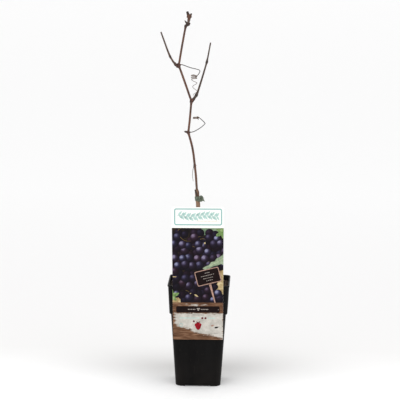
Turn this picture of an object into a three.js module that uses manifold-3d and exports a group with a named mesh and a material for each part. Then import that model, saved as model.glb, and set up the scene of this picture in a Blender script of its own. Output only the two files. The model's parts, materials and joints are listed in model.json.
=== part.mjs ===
// A young dormant grapevine in a tall square nursery pot, with a picture label hooked on the rim.
// Millimetres, Z up, X to the right, the label faces -Y. The origin is the middle of the pot's underside.

import * as THREE from 'three';
import * as BufferGeometryUtils from 'three/addons/utils/BufferGeometryUtils.js';
import Module from 'manifold-3d';

const wasm = await Module();
wasm.setup();

// ---------------------------------------------------------------- driving dimensions

const gap = 0.3; // between pieces that touch

const pot = {
  height: 180,
  baseWidth: 78,
  baseCorner: 13,
  shoulderHeight: 127.8,
  shoulderWidth: 94.6,
  shoulderCorner: 11,
  collarStep: 2.6, // how far the collar stands out from the body, on each side
  collarRise: 1.6,
  collarTopWidth: 105.4,
  rimCorner: 9.5,
  beadHeight: 3,
  beadStep: 0.7,
  wall: 1.5,
  floor: 3.5,
  notchWidth: 45,
  notchDepth: 12,
  notchHeight: 2,
  drainRadius: 3.2,
  drainSpacing: 15,
  drainInset: 7.5,
};

const soil = { depthBelowRim: 10, moundHeight: 3, moundRadius: 24 };

const label = {
  bottom: 85.2,
  top: 318.3,
  bottomWidth: 86,
  topWidth: 88.8,
  tilt: -0.45, // degrees that the card hangs out of upright, seen from the front
  thickness: 0.8,
  corner: 2,
  hookSpacing: 56,
  hookWidth: 12,
  hookDrop: 8,
  edgeSegments: 4,
};

const tie = {
  height: 323,
  width: 8.6,
  thickness: 0.9,
  clearance: 0.36,
  knotRadius: 4.4,
  knotOffset: [0.2, -2.6, 0.3], // from the strap's right side
  ends: [
    [0.6, -1, 6.8],
    [6.9, -1, -4.6],
  ],
  endRadius: [2.3, 0.7],
};

// The vine. Leans are degrees from upright, positive to the right (X) or away from the label (Y).
const vine = {
  foot: [2.5, 5],
  trunkTop: [-6.1, 3, 343],
  trunkBends: [
    [1.6, 4.6, 215],
    [-0.4, 4.2, 268],
    [-3.6, 3.6, 314],
  ],
  trunkRadius: [4.4, 3.4],
  flareRadius: 7.5,
  flareHeight: 16,
  // Thick places on the trunk: how much thicker, and where and how wide as fractions of its length.
  knuckles: [
    { height: 0.5, at: 0.52, width: 0.035 },
    { height: 0.4, at: 0.95, width: 0.03 },
  ],
  sides: 12,
};

// The dark dead stub high on the trunk, where a shoot was cut off.
const prunedStub = { start: [-5.6, -0.3, 328.3], length: 11.5, lean: -16, leanBack: -9, radius: [1.7, 1.4] };

// One entry for each internode of the cane, from the top of the trunk to the highest node:
// its length, its lean, the radius of its lower end and of the node on its upper end.
const internodes = [
  { name: 'cane_1', length: 37.5, lean: -5.4, leanBack: 1.5, radius: 1.9, node: 2.2, sway: 0.4 },
  { name: 'cane_2', length: 59.1, lean: -11.1, leanBack: -4.0, radius: 1.75, node: 2.7, sway: 1.8 },
  { name: 'cane_3', length: 53.8, lean: 4.9, leanBack: 6.4, radius: 1.65, node: 2.8, sway: 0.3 },
  { name: 'cane_4', length: 65.9, lean: -19.4, leanBack: -5.5, radius: 1.7, node: 3.1, sway: 0.2 },
  { name: 'cane_5', length: 67.9, lean: 9.4, leanBack: 3.9, radius: 1.6, node: 2.4, sway: -0.3 },
];

// Side shoots: the node each leaves (counted from the foot of the cane), where on that node it starts,
// its straight legs from joint to joint, and its radius at the foot and at the cut end.
const leftShoot = {
  node: 4,
  start: [-2.6, 0, 0.1],
  legs: [
    { length: 4.1, lean: -67, leanBack: -5 },
    { length: 16.7, lean: -32.7, leanBack: -6.5 },
    { length: 45.2, lean: -20.1, leanBack: -8.1 },
  ],
  radius: [1.6, 1.1],
  footSwelling: 0.7,
};

const rightShoot = {
  node: 3,
  start: [2.5, 1, 1.8],
  legs: [
    { length: 12.2, lean: 35.4, leanBack: 23 },
    { length: 58.7, lean: 16.6, leanBack: 5.1 },
    { length: 34, lean: 10.3, leanBack: 3.4 },
  ],
  radius: [1.5, 1],
  footSwelling: 0.4,
};

// The cut-back head: a knob beside the highest node, a short neck, and two stubs in a fork.
const head = {
  knobOffset: [3.8, 0, 3.5],
  knobRadius: 2.9,
  neck: { length: 13.1, lean: 9.5, leanBack: -2.7, radius: 1.8, widening: 1.5 },
  forkRadius: 3.3,
  stubs: [
    { length: 10.5, lean: -23.4, leanBack: -6, radius: [2.6, 1.7] },
    { length: 7.7, lean: 43.8, leanBack: 10.3, radius: [2.2, 1.2] },
  ],
};

const black = 0x1c1b1b;
const oldWood = 0x8a6a52;
const youngWood = 0x6e4431;

// ---------------------------------------------------------------- closed solids, joined and cut

function solidFrom(geometry) {
  const bare = geometry.index ? geometry.toNonIndexed() : geometry.clone();
  bare.deleteAttribute('normal');
  bare.deleteAttribute('uv');
  const merged = BufferGeometryUtils.mergeVertices(bare, 1e-4);
  const vertProperties = new Float32Array(merged.attributes.position.array);
  const triVerts = new Uint32Array(merged.index.array);
  return new wasm.Manifold(new wasm.Mesh({ numProp: 3, vertProperties, triVerts }));
}

function geometryFrom(solid) {
  const { vertProperties, triVerts } = solid.getMesh();
  const geometry = new THREE.BufferGeometry();
  geometry.setAttribute('position', new THREE.BufferAttribute(new Float32Array(vertProperties), 3));
  geometry.setIndex(new THREE.BufferAttribute(new Uint32Array(triVerts), 1));
  geometry.computeVertexNormals();
  return geometry;
}

function box(width, depth, height, x, y, z) {
  return solidFrom(new THREE.BoxGeometry(width, depth, height).translate(x, y, z));
}

function ball(radius, centre) {
  return solidFrom(new THREE.SphereGeometry(radius, 12, 8).translate(centre.x, centre.y, centre.z));
}

// ---------------------------------------------------------------- rounded-square blocks

const template = { half: 1, corner: 0.5 };

function roundedSquareShape() {
  const centre = template.half - template.corner;
  const shape = new THREE.Shape();
  shape.absarc(centre, centre, template.corner, 0, Math.PI / 2, false);
  shape.absarc(-centre, centre, template.corner, Math.PI / 2, Math.PI, false);
  shape.absarc(-centre, -centre, template.corner, Math.PI, Math.PI * 1.5, false);
  shape.absarc(centre, -centre, template.corner, Math.PI * 1.5, Math.PI * 2, false);
  return shape;
}

// An upright block through rounded-square levels of { z, width, corner }. The template outline is
// extruded with one ring for each level, then each ring is fitted to its own width and corner.
function roundedBlock(levels) {
  const last = levels.length - 1;
  const geometry = new THREE.ExtrudeGeometry(roundedSquareShape(), {
    depth: last,
    steps: last,
    curveSegments: 3,
    bevelEnabled: false,
  });
  const position = geometry.attributes.position;
  const arcCentre = template.half - template.corner;
  for (let i = 0; i < position.count; i += 1) {
    const level = levels[Math.round(position.getZ(i))];
    const fitted = [position.getX(i), position.getY(i)].map((value) => {
      const side = Math.sign(value);
      const onArc = (value - side * arcCentre) / template.corner;
      return side * (level.width / 2 - level.corner) + level.corner * onArc;
    });
    position.setXYZ(i, fitted[0], fitted[1], level.z);
  }
  return solidFrom(geometry);
}

// ---------------------------------------------------------------- pot

const shoulderTop = pot.shoulderHeight + pot.collarRise;
const collarBottomWidth = pot.shoulderWidth + 2 * pot.collarStep;

// Width of the pot's body, outside, at a height below the shoulder.
function bodyWidth(z) {
  return THREE.MathUtils.mapLinear(z, 0, pot.shoulderHeight, pot.baseWidth, pot.shoulderWidth);
}

// Width of the collar, outside, at a height above the shoulder.
function collarWidth(z) {
  return THREE.MathUtils.mapLinear(z, shoulderTop, pot.height, collarBottomWidth, pot.collarTopWidth);
}

// The levels of the pot's inside, each drawn in by inset from the outside face, up to the height top.
function insideLevels(inset, bottom, top) {
  const shrink = 2 * inset;
  return [
    { z: bottom, width: bodyWidth(bottom) - shrink, corner: pot.baseCorner - inset },
    { z: pot.shoulderHeight, width: pot.shoulderWidth - shrink, corner: pot.shoulderCorner - inset },
    { z: shoulderTop + pot.wall, width: collarBottomWidth - shrink, corner: pot.shoulderCorner - inset },
    { z: top, width: collarWidth(top) - shrink, corner: pot.rimCorner - inset },
  ];
}

function buildPot() {
  const beadBottom = pot.height - pot.beadHeight;
  const beadWidth = collarWidth(pot.height) + 2 * pot.beadStep;
  let solid = roundedBlock([
    { z: 0, width: pot.baseWidth, corner: pot.baseCorner },
    { z: pot.shoulderHeight, width: pot.shoulderWidth, corner: pot.shoulderCorner },
    { z: shoulderTop, width: collarBottomWidth, corner: pot.shoulderCorner },
    { z: beadBottom - pot.beadStep, width: collarWidth(beadBottom), corner: pot.rimCorner },
    { z: beadBottom, width: beadWidth, corner: pot.rimCorner },
    { z: pot.height, width: beadWidth, corner: pot.rimCorner },
  ]);
  solid = solid.subtract(roundedBlock(insideLevels(pot.wall, pot.floor, pot.height + 1)));
  for (let side = 0; side < 4; side += 1) {
    solid = solid.subtract(drainNotch(side * 90));
  }
  return solid;
}

// A shallow notch under one side, from the outside in, with three drain holes up through the floor.
function drainNotch(turn) {
  const edge = -pot.baseWidth / 2;
  let cut = box(pot.notchWidth, 2 * pot.notchDepth, 2 * pot.notchHeight, 0, edge, 0);
  for (const step of [-1, 0, 1]) {
    const hole = new THREE.CylinderGeometry(pot.drainRadius, pot.drainRadius, 4 * pot.floor, 12);
    hole.rotateX(Math.PI / 2);
    hole.translate(step * pot.drainSpacing, edge + pot.drainInset, 0);
    cut = cut.add(solidFrom(hole));
  }
  return cut.rotate([0, 0, turn]);
}

function buildSoil() {
  const top = pot.height - soil.depthBelowRim;
  const block = roundedBlock(insideLevels(pot.wall + gap, pot.floor + gap, top));
  const mound = new THREE.LatheGeometry(
    [
      new THREE.Vector2(0, -2),
      new THREE.Vector2(soil.moundRadius, -2),
      new THREE.Vector2(soil.moundRadius, 0),
      new THREE.Vector2(soil.moundRadius * 0.66, soil.moundHeight * 0.45),
      new THREE.Vector2(soil.moundRadius * 0.4, soil.moundHeight),
      new THREE.Vector2(0, soil.moundHeight),
    ],
    20,
  );
  mound.rotateX(Math.PI / 2);
  mound.translate(vine.foot[0], vine.foot[1], top);
  return block.add(solidFrom(mound));
}

// ---------------------------------------------------------------- label

// The label lies against the collar and leans with it. Two hooks behind it go over the rim.
function buildLabel() {
  const height = label.top - label.bottom;
  const outline = new THREE.Shape();
  const corners = [
    [-label.bottomWidth / 2, 0],
    [label.bottomWidth / 2, 0],
    [label.topWidth / 2, height],
    [-label.topWidth / 2, height],
  ];
  corners.forEach(([x, z], i) => {
    const side = Math.sign(x) * label.corner;
    const up = (z === 0 ? 1 : -1) * label.corner;
    const alongEdge = [x - side, z];
    const alongSide = [x, z + up];
    const [first, second] = i % 2 === 0 ? [alongSide, alongEdge] : [alongEdge, alongSide];
    if (i === 0) outline.moveTo(...first);
    else outline.lineTo(...first);
    outline.quadraticCurveTo(x, z, ...second);
  });
  const card = new THREE.ExtrudeGeometry(outline, {
    depth: label.thickness,
    curveSegments: label.edgeSegments,
    bevelEnabled: false,
  });
  card.rotateX(Math.PI / 2);

  const rimFace = -(collarWidth(pot.height) / 2 + pot.beadStep);
  const lean = Math.atan2(pot.collarTopWidth - collarBottomWidth, 2 * (pot.height - shoulderTop));
  const backAtRim = rimFace - gap;
  const rimAboveBottom = pot.height - label.bottom;
  card.rotateY(THREE.MathUtils.degToRad(label.tilt));
  card.rotateX(lean);
  card.translate(0, backAtRim + Math.tan(lean) * rimAboveBottom, label.bottom);
  let solid = solidFrom(card);

  const hookTop = pot.height + gap + label.thickness;
  const insideFace = -(collarWidth(hookTop - label.hookDrop) / 2 - pot.wall);
  const hookBack = insideFace + gap + label.thickness;
  for (const side of [-1, 1]) {
    const x = (side * label.hookSpacing) / 2;
    const reach = hookBack - backAtRim + label.thickness / 2;
    const over = box(
      label.hookWidth,
      reach,
      label.thickness,
      x,
      hookBack - reach / 2,
      hookTop - label.thickness / 2,
    );
    const down = box(
      label.hookWidth,
      label.thickness,
      label.hookDrop,
      x,
      hookBack - label.thickness / 2,
      hookTop - label.hookDrop / 2,
    );
    solid = solid.add(over).add(down);
  }
  return solid;
}

// ---------------------------------------------------------------- limbs

// A round limb: a lathed profile one unit long, bent along the path and given its radius in millimetres.
// radiusAt(t) is the radius at the fraction t of the length. A domed limb has a rounded upper end.
function limb({ path, radiusAt, rings, sides = vine.sides, domed = false }) {
  const profile = [new THREE.Vector2(0, 0)];
  for (let i = 0; i <= rings; i += 1) {
    profile.push(new THREE.Vector2(1, i / rings));
  }
  profile.push(new THREE.Vector2(0, 1));
  const geometry = new THREE.LatheGeometry(profile, sides);
  const position = geometry.attributes.position;
  const length = path.getLength();
  const backwards = new THREE.Vector3(0, 1, 0);
  for (let i = 0; i < position.count; i += 1) {
    const t = position.getY(i);
    const centre = path.getPointAt(t);
    const along = path.getTangentAt(t).normalize();
    const across = new THREE.Vector3().crossVectors(backwards, along).normalize();
    const deep = new THREE.Vector3().crossVectors(across, along);
    const fromTip = (1 - t) * length;
    let radius = radiusAt(t);
    if (domed && fromTip < radius) {
      radius = Math.hypot(0.45 * radius, 0.85 * Math.sqrt(fromTip * (2 * radius - fromTip)));
    }
    centre.addScaledVector(across, position.getX(i) * radius);
    centre.addScaledVector(deep, position.getZ(i) * radius);
    position.setXYZ(i, centre.x, centre.y, centre.z);
  }
  return solidFrom(geometry);
}

function bump(t, centre, width) {
  return Math.exp(-(((t - centre) / width) ** 2));
}

// Where a straight piece of this length and lean ends.
function endOf(start, { length, lean, leanBack }) {
  const x = Math.tan(THREE.MathUtils.degToRad(lean));
  const y = Math.tan(THREE.MathUtils.degToRad(leanBack));
  return start.clone().addScaledVector(new THREE.Vector3(x, y, 1).normalize(), length);
}

// A gentle arc from start to end that bows out by sway at the middle.
function bowedPath(start, end, sway) {
  const middle = start.clone().lerp(end, 0.5).add(new THREE.Vector3(sway, 0.4 * sway, 0));
  return new THREE.CatmullRomCurve3([start, middle, end]);
}

// Straight legs from point to point, with each corner eased over a short way on both sides of it.
function jointedPath(points, easing) {
  const eased = [points[0]];
  for (let i = 1; i < points.length - 1; i += 1) {
    const before = points[i - 1].clone().sub(points[i]).setLength(easing).add(points[i]);
    const after = points[i + 1].clone().sub(points[i]).setLength(easing).add(points[i]);
    eased.push(before, after);
  }
  eased.push(points.at(-1));
  return new THREE.CatmullRomCurve3(eased, false, 'centripetal');
}

// ---------------------------------------------------------------- trunk

const soilTop = pot.height - soil.depthBelowRim + soil.moundHeight;
const trunkFoot = new THREE.Vector3(...vine.foot, soilTop + gap);
const trunkTop = new THREE.Vector3(...vine.trunkTop);
const trunkBends = vine.trunkBends.map((point) => new THREE.Vector3(...point));
const trunkPath = new THREE.CatmullRomCurve3([trunkFoot, ...trunkBends, trunkTop]);
const trunkLength = trunkPath.getLength();

function trunkRadiusAt(t) {
  const up = (t * trunkLength) / vine.flareHeight;
  const flare = (vine.flareRadius - vine.trunkRadius[0]) * Math.exp(-(up ** 2));
  const knuckles = vine.knuckles.reduce((sum, { height, at, width }) => sum + height * bump(t, at, width), 0);
  return THREE.MathUtils.lerp(...vine.trunkRadius, t) + flare + knuckles;
}

// The trunk, or a larger copy of it that cuts the pieces which lie against it.
function trunkSolid(extra = 0) {
  return limb({
    path: trunkPath,
    rings: 20,
    sides: 14,
    domed: extra === 0,
    radiusAt: (t) => trunkRadiusAt(t) + extra,
  });
}

function buildPrunedStub() {
  const start = new THREE.Vector3(...prunedStub.start);
  const stub = limb({
    path: new THREE.LineCurve3(start, endOf(start, prunedStub)),
    rings: 5,
    sides: 10,
    radiusAt: (t) => THREE.MathUtils.lerp(...prunedStub.radius, t),
  });
  return stub.subtract(trunkSolid(tie.clearance));
}

// A soft strap round the trunk, knotted on the right, with two pointed ends.
function buildTie() {
  const t = (tie.height - trunkFoot.z) / (trunkTop.z - trunkFoot.z);
  const centre = trunkPath.getPoint(t);
  const outside = trunkRadiusAt(t) + tie.clearance + tie.thickness;
  const band = new THREE.CylinderGeometry(outside, outside, tie.width, 16);
  band.rotateX(Math.PI / 2);
  band.translate(centre.x, centre.y, tie.height);
  const rightSide = new THREE.Vector3(centre.x + outside, centre.y, tie.height);
  const knot = rightSide.add(new THREE.Vector3(...tie.knotOffset));
  let solid = solidFrom(band).add(ball(tie.knotRadius, knot));
  for (const offset of tie.ends) {
    const end = knot.clone().add(new THREE.Vector3(...offset));
    solid = solid.add(
      limb({
        path: new THREE.LineCurve3(knot, end),
        rings: 3,
        sides: 8,
        radiusAt: (u) => THREE.MathUtils.lerp(...tie.endRadius, u),
      }),
    );
  }
  return solid.subtract(trunkSolid(tie.clearance));
}

// ---------------------------------------------------------------- cane, shoots and head

// The nodes of the cane, from its foot on the trunk upward, and the path of each internode.
const caneFoot = trunkTop.clone().add(new THREE.Vector3(0, 0, 1.5 * gap));
const nodes = [caneFoot];
const canePaths = [];
for (const part of internodes) {
  const start = nodes.at(-1);
  const end = endOf(start, part);
  canePaths.push(bowedPath(start, end, part.sway));
  nodes.push(end);
}

// A limb that grows from a node starts in a shallow socket round that node's knob.
function seatedOn(solid, nodeIndex) {
  if (nodeIndex === 0) return solid;
  return solid.subtract(ball(internodes[nodeIndex - 1].node + 1.5 * gap, nodes[nodeIndex]));
}

function buildCane(part, i) {
  const shaft = limb({
    path: canePaths[i],
    rings: 9,
    radiusAt: (t) => {
      const swelling = (part.node - part.radius) * (0.5 * bump(t, 1, 0.1) + 0.3 * bump(t, 0, 0.06));
      return part.radius * (1 - 0.06 * t) + swelling;
    },
  });
  return seatedOn(shaft, i).add(ball(part.node, nodes[i + 1]));
}

// A side shoot leaves a node sideways, then runs through its own joints to a cut end.
function buildShoot(shoot) {
  const points = [nodes[shoot.node].clone().add(new THREE.Vector3(...shoot.start))];
  for (const leg of shoot.legs) {
    points.push(endOf(points.at(-1), leg));
  }
  const path = jointedPath(points, 2);
  const total = path.getLength();
  let reached = 0;
  const joints = shoot.legs.slice(0, -1).map((leg) => {
    reached += leg.length;
    return reached / total;
  });
  const solid = limb({
    path,
    rings: 26,
    sides: 10,
    radiusAt: (t) => {
      const swelling = joints.reduce((sum, joint) => sum + 0.5 * bump(t, joint, 0.03), 0);
      const foot = shoot.footSwelling * bump(t, 0, 0.08);
      return THREE.MathUtils.lerp(...shoot.radius, t) + swelling + foot;
    },
  });
  return seatedOn(solid, shoot.node);
}

function buildForkedTip() {
  const top = nodes.at(-1);
  const knob = top.clone().add(new THREE.Vector3(...head.knobOffset));
  const fork = endOf(knob, head.neck);
  const neck = limb({
    path: new THREE.LineCurve3(knob, fork),
    rings: 6,
    radiusAt: (t) => head.neck.radius + head.neck.widening * bump(t, 1, 0.45),
  });
  let solid = ball(head.knobRadius, knob).add(neck).add(ball(head.forkRadius, fork));
  for (const stub of head.stubs) {
    solid = solid.add(
      limb({
        path: new THREE.LineCurve3(fork, endOf(fork, stub)),
        rings: 6,
        domed: true,
        radiusAt: (t) => THREE.MathUtils.lerp(...stub.radius, t),
      }),
    );
  }
  return seatedOn(solid, internodes.length);
}

// ---------------------------------------------------------------- the scene graph

const group = new THREE.Group();
group.name = 'potted_grapevine';

function add(name, solid, colour, roughness) {
  const material = new THREE.MeshStandardMaterial({ color: colour, roughness, metalness: 0 });
  const mesh = new THREE.Mesh(geometryFrom(solid), material);
  mesh.name = name;
  group.add(mesh);
}

add('pot', buildPot(), black, 0.45);
add('soil', buildSoil(), 0x3b2a20, 0.95);
add('label', buildLabel(), 0xf2f1ec, 0.35);
add('trunk', trunkSolid(), oldWood, 0.85);
add('pruned_stub', buildPrunedStub(), 0x3a2a22, 0.9);
add('tie', buildTie(), 0x6b7f72, 0.6);
internodes.forEach((part, i) => add(part.name, buildCane(part, i), youngWood, 0.7));
add('forked_tip', buildForkedTip(), 0x5f3a2c, 0.8);
add('left_shoot', buildShoot(leftShoot), 0x6a5343, 0.75);
add('right_shoot', buildShoot(rightShoot), 0x574a44, 0.75);

export default group;
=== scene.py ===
"""Looks of the potted grapevine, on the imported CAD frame. Metres, Z up, the label faces -Y."""
import json
import math
import random

import bmesh
import bpy
import numpy as np
from mathutils import Matrix, Vector, noise
from mathutils.bvhtree import BVHTree


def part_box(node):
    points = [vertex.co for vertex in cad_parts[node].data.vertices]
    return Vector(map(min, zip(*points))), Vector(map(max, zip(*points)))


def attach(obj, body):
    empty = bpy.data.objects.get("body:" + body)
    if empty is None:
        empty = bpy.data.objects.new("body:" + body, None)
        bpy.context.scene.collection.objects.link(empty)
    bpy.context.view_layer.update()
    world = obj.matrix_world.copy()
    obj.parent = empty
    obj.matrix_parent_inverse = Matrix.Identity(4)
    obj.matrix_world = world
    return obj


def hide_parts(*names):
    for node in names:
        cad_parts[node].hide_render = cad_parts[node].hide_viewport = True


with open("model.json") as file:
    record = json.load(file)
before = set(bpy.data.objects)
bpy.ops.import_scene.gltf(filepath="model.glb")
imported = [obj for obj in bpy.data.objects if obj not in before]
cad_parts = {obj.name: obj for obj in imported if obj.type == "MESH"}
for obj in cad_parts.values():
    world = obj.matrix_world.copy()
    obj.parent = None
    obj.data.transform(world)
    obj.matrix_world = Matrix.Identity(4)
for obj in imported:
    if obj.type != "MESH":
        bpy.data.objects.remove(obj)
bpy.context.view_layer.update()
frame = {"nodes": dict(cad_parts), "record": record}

MM = 0.001
TAU = 2 * math.pi
rng = random.Random(11)


def mm(x, y, z):
    """A vector given in millimetres."""
    return Vector((x, y, z)) * MM


def wave(x, y, z):
    """Smooth noise, roughly from -1 to 1, at a place."""
    return noise.noise(Vector((x, y, z)))


def add_object(name, data):
    made = bpy.data.objects.new(name, data)
    bpy.context.scene.collection.objects.link(made)
    return made


# ------------------------------------------------------------------ mesh building

class Shape:
    """Vertices and faces gathered from several small forms, with a tone for each vertex."""

    def __init__(self):
        self.verts = []
        self.faces = []
        self.tones = []

    def add(self, verts, faces, tone=(0.0, 0.0, 0.0)):
        """Adds one form. tone is one value for all its vertices, or a list with one for each."""
        start = len(self.verts)
        self.verts.extend(verts)
        self.faces.extend(tuple(start + i for i in face) for face in faces)
        self.tones.extend(tone if isinstance(tone, list) else [tone] * len(verts))

    def build(self, name, material, smooth=True):
        """The object made of these forms. It rides on the plant's one body."""
        mesh = bpy.data.meshes.new(name)
        mesh.from_pydata([tuple(v) for v in self.verts], [], self.faces)
        attribute = mesh.color_attributes.new("Tone", "FLOAT_COLOR", "POINT")
        rgba = [value for tone in self.tones for value in (*tone, 1.0)]
        attribute.data.foreach_set("color", rgba)
        if smooth:
            mesh.shade_smooth()
        mesh.materials.append(material)
        mesh.validate()
        piece = add_object(name, mesh)
        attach(piece, "root")
        return piece


def grid_faces(rows, columns, closed=True):
    """Quads between rows of vertices. Closed rows join their last vertex to their first."""
    faces = []
    across = columns if closed else columns - 1
    for row in range(rows - 1):
        for i in range(across):
            j = (i + 1) % columns
            a = row * columns
            b = (row + 1) * columns
            faces.append((a + i, a + j, b + j, b + i))
    return faces


def tube_faces(rows, columns):
    """The quads of a closed grid, and a flat face over each end."""
    first, last = range(columns), range((rows - 1) * columns, rows * columns)
    return grid_faces(rows, columns) + [tuple(reversed(first)), tuple(last)]


def disc_faces(rings, steps):
    """The faces of rings of vertices round a middle vertex, which counts as the first ring."""
    faces = [(0, 1 + k, 1 + (k + 1) % steps) for k in range(steps)]
    for a, b, c, d in grid_faces(rings - 1, steps):
        faces.append((1 + a, 1 + d, 1 + c, 1 + b))
    return faces


def smooth_line(points, step):
    """Points about one step apart on a smooth curve through the given points."""
    points = [Vector(p) for p in points]
    ends = [points[0] * 2 - points[1], *points, points[-1] * 2 - points[-2]]
    line = []
    for p0, p1, p2, p3 in zip(ends, ends[1:], ends[2:], ends[3:]):
        count = max(1, round((p2 - p1).length / step))
        for k in range(count):
            t = k / count
            line.append(0.5 * (2 * p1 + (p2 - p0) * t + (2 * p0 - 5 * p1 + 4 * p2 - p3) * t ** 2
                               + (3 * p1 - p0 - 3 * p2 + p3) * t ** 3))
    line.append(points[-1])
    return line


def carried_frames(line):
    """The direction and two square side directions at each point, with no twist along the line."""
    frames = []
    side = Vector((1, 0, 0))
    for i in range(len(line)):
        before = line[max(i - 1, 0)]
        after = line[min(i + 1, len(line) - 1)]
        along = (after - before).normalized()
        side = (side - along * side.dot(along)).normalized()
        frames.append((along, side, along.cross(side)))
    return frames


def lengths_along(line):
    """Distance of each point from the start of the line."""
    total = [0.0]
    for a, b in zip(line, line[1:]):
        total.append(total[-1] + (b - a).length)
    return total


def skin(line, radius_at, sides, relief=None, tone_at=None):
    """A round skin on a line: verts, faces, tones. relief(angle, distance) is added to the radius."""
    verts, tones = [], []
    distances = lengths_along(line)
    for point, (along, side, up), distance in zip(line, carried_frames(line), distances):
        radius = radius_at(distance)
        for k in range(sides):
            angle = TAU * k / sides
            r = radius + (relief(angle, distance) if relief else 0.0)
            offset = side * math.cos(angle) + up * math.sin(angle)
            verts.append(point + offset * r)
            tones.append(tone_at(angle, distance) if tone_at else (0.0, 0.0, 0.0))
    faces = grid_faces(len(line), sides)
    for row, flip in ((0, True), (len(line) - 1, False)):
        ring = [row * sides + k for k in range(sides)]
        centre = len(verts)
        verts.append(line[row])
        tones.append(tones[ring[0]])
        for k in range(sides):
            a, b = ring[k], ring[(k + 1) % sides]
            faces.append((b, a, centre) if flip else (a, b, centre))
    return verts, faces, tones


def lump(centre, size, seed, rows=6, columns=9, rough=0.25):
    """A small closed uneven lump. size is its three half-widths."""
    verts = [centre + Vector((0, 0, -size[2]))]
    for row in range(1, rows):
        polar = math.pi * row / rows
        for k in range(columns):
            turn = TAU * k / columns
            way = Vector((math.sin(polar) * math.cos(turn), math.sin(polar) * math.sin(turn),
                          -math.cos(polar)))
            swell = 1 + rough * noise.noise(way * 1.7 + Vector((seed, 0, 0)))
            verts.append(centre + Vector((way.x * size[0], way.y * size[1], way.z * size[2])) * swell)
    verts.append(centre + Vector((0, 0, size[2])))
    faces = [(0, 1 + (k + 1) % columns, 1 + k) for k in range(columns)]
    faces += [tuple(1 + i for i in face) for face in grid_faces(rows - 1, columns)]
    last = 1 + (rows - 2) * columns
    faces += [(last + k, last + (k + 1) % columns, len(verts) - 1) for k in range(columns)]
    return verts, faces


def fused(forms, voxel, smoothing=6):
    """One closed skin round several overlapping forms: verts and faces."""
    shape = Shape()
    for verts, faces in forms:
        shape.add(verts, faces)
    mesh = bpy.data.meshes.new("fusing")
    mesh.from_pydata([tuple(v) for v in shape.verts], [], shape.faces)
    temporary = add_object("fusing", mesh)
    remesh = temporary.modifiers.new("remesh", "REMESH")
    remesh.mode = "VOXEL"
    remesh.voxel_size = voxel
    soften = temporary.modifiers.new("soften", "SMOOTH")
    soften.iterations = smoothing
    made = temporary.evaluated_get(bpy.context.evaluated_depsgraph_get()).to_mesh()
    verts = [v.co.copy() for v in made.vertices]
    faces = [tuple(p.vertices) for p in made.polygons]
    bpy.data.objects.remove(temporary)
    bpy.data.meshes.remove(mesh)
    return verts, faces


def roughened(verts, faces, relief):
    """The form with each vertex moved out along its normal by relief(position)."""
    mesh = bpy.data.meshes.new("roughening")
    mesh.from_pydata([tuple(v) for v in verts], [], faces)
    moved = [v.co + v.normal * relief(v.co) for v in mesh.vertices]
    bpy.data.meshes.remove(mesh)
    return moved, faces


# ------------------------------------------------------------------ reading the frame

def node_arrays(node):
    """A CAD node's vertices and edges as arrays."""
    mesh = frame["nodes"][node].data
    verts = np.empty(len(mesh.vertices) * 3)
    mesh.vertices.foreach_get("co", verts)
    edges = np.empty(len(mesh.edges) * 2, dtype=np.int64)
    mesh.edges.foreach_get("vertices", edges)
    return verts.reshape(-1, 3), edges.reshape(-1, 2)


def cut_points(arrays, z):
    """The points where a level plane at height z cuts a CAD node's edges."""
    verts, edges = arrays
    a, b = verts[edges[:, 0]], verts[edges[:, 1]]
    crossing = (a[:, 2] - z) * (b[:, 2] - z) < 0
    a, b = a[crossing], b[crossing]
    t = ((z - a[:, 2]) / (b[:, 2] - a[:, 2]))[:, None]
    return a + (b - a) * t


def slice_at(arrays, z, keep=None):
    """Centre and least half-width of a CAD limb where a level plane at height z cuts it."""
    points = cut_points(arrays, z)
    if keep is not None:
        points = points[keep(points)]
    low, high = points.min(0), points.max(0)
    half = (high - low) / 2
    return Vector((low + high) / 2), float(min(half[0], half[1]))


def centre_line(node, count, from_bottom=0.6 * MM, from_top=0.6 * MM):
    """Points up the middle of a CAD limb."""
    low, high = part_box(node)
    arrays = node_arrays(node)
    levels = np.linspace(low[2] + from_bottom, high[2] - from_top, count)
    return [slice_at(arrays, z)[0] for z in levels]


def knob_of(node):
    """Centre and radius of the swollen node on the upper end of a CAD internode."""
    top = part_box(node)[1][2]
    arrays = node_arrays(node)
    cuts = [slice_at(arrays, z) for z in np.linspace(top - 7 * MM, top - 0.3 * MM, 24)]
    return max(cuts, key=lambda cut: cut[1])


# ------------------------------------------------------------------ materials

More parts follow.
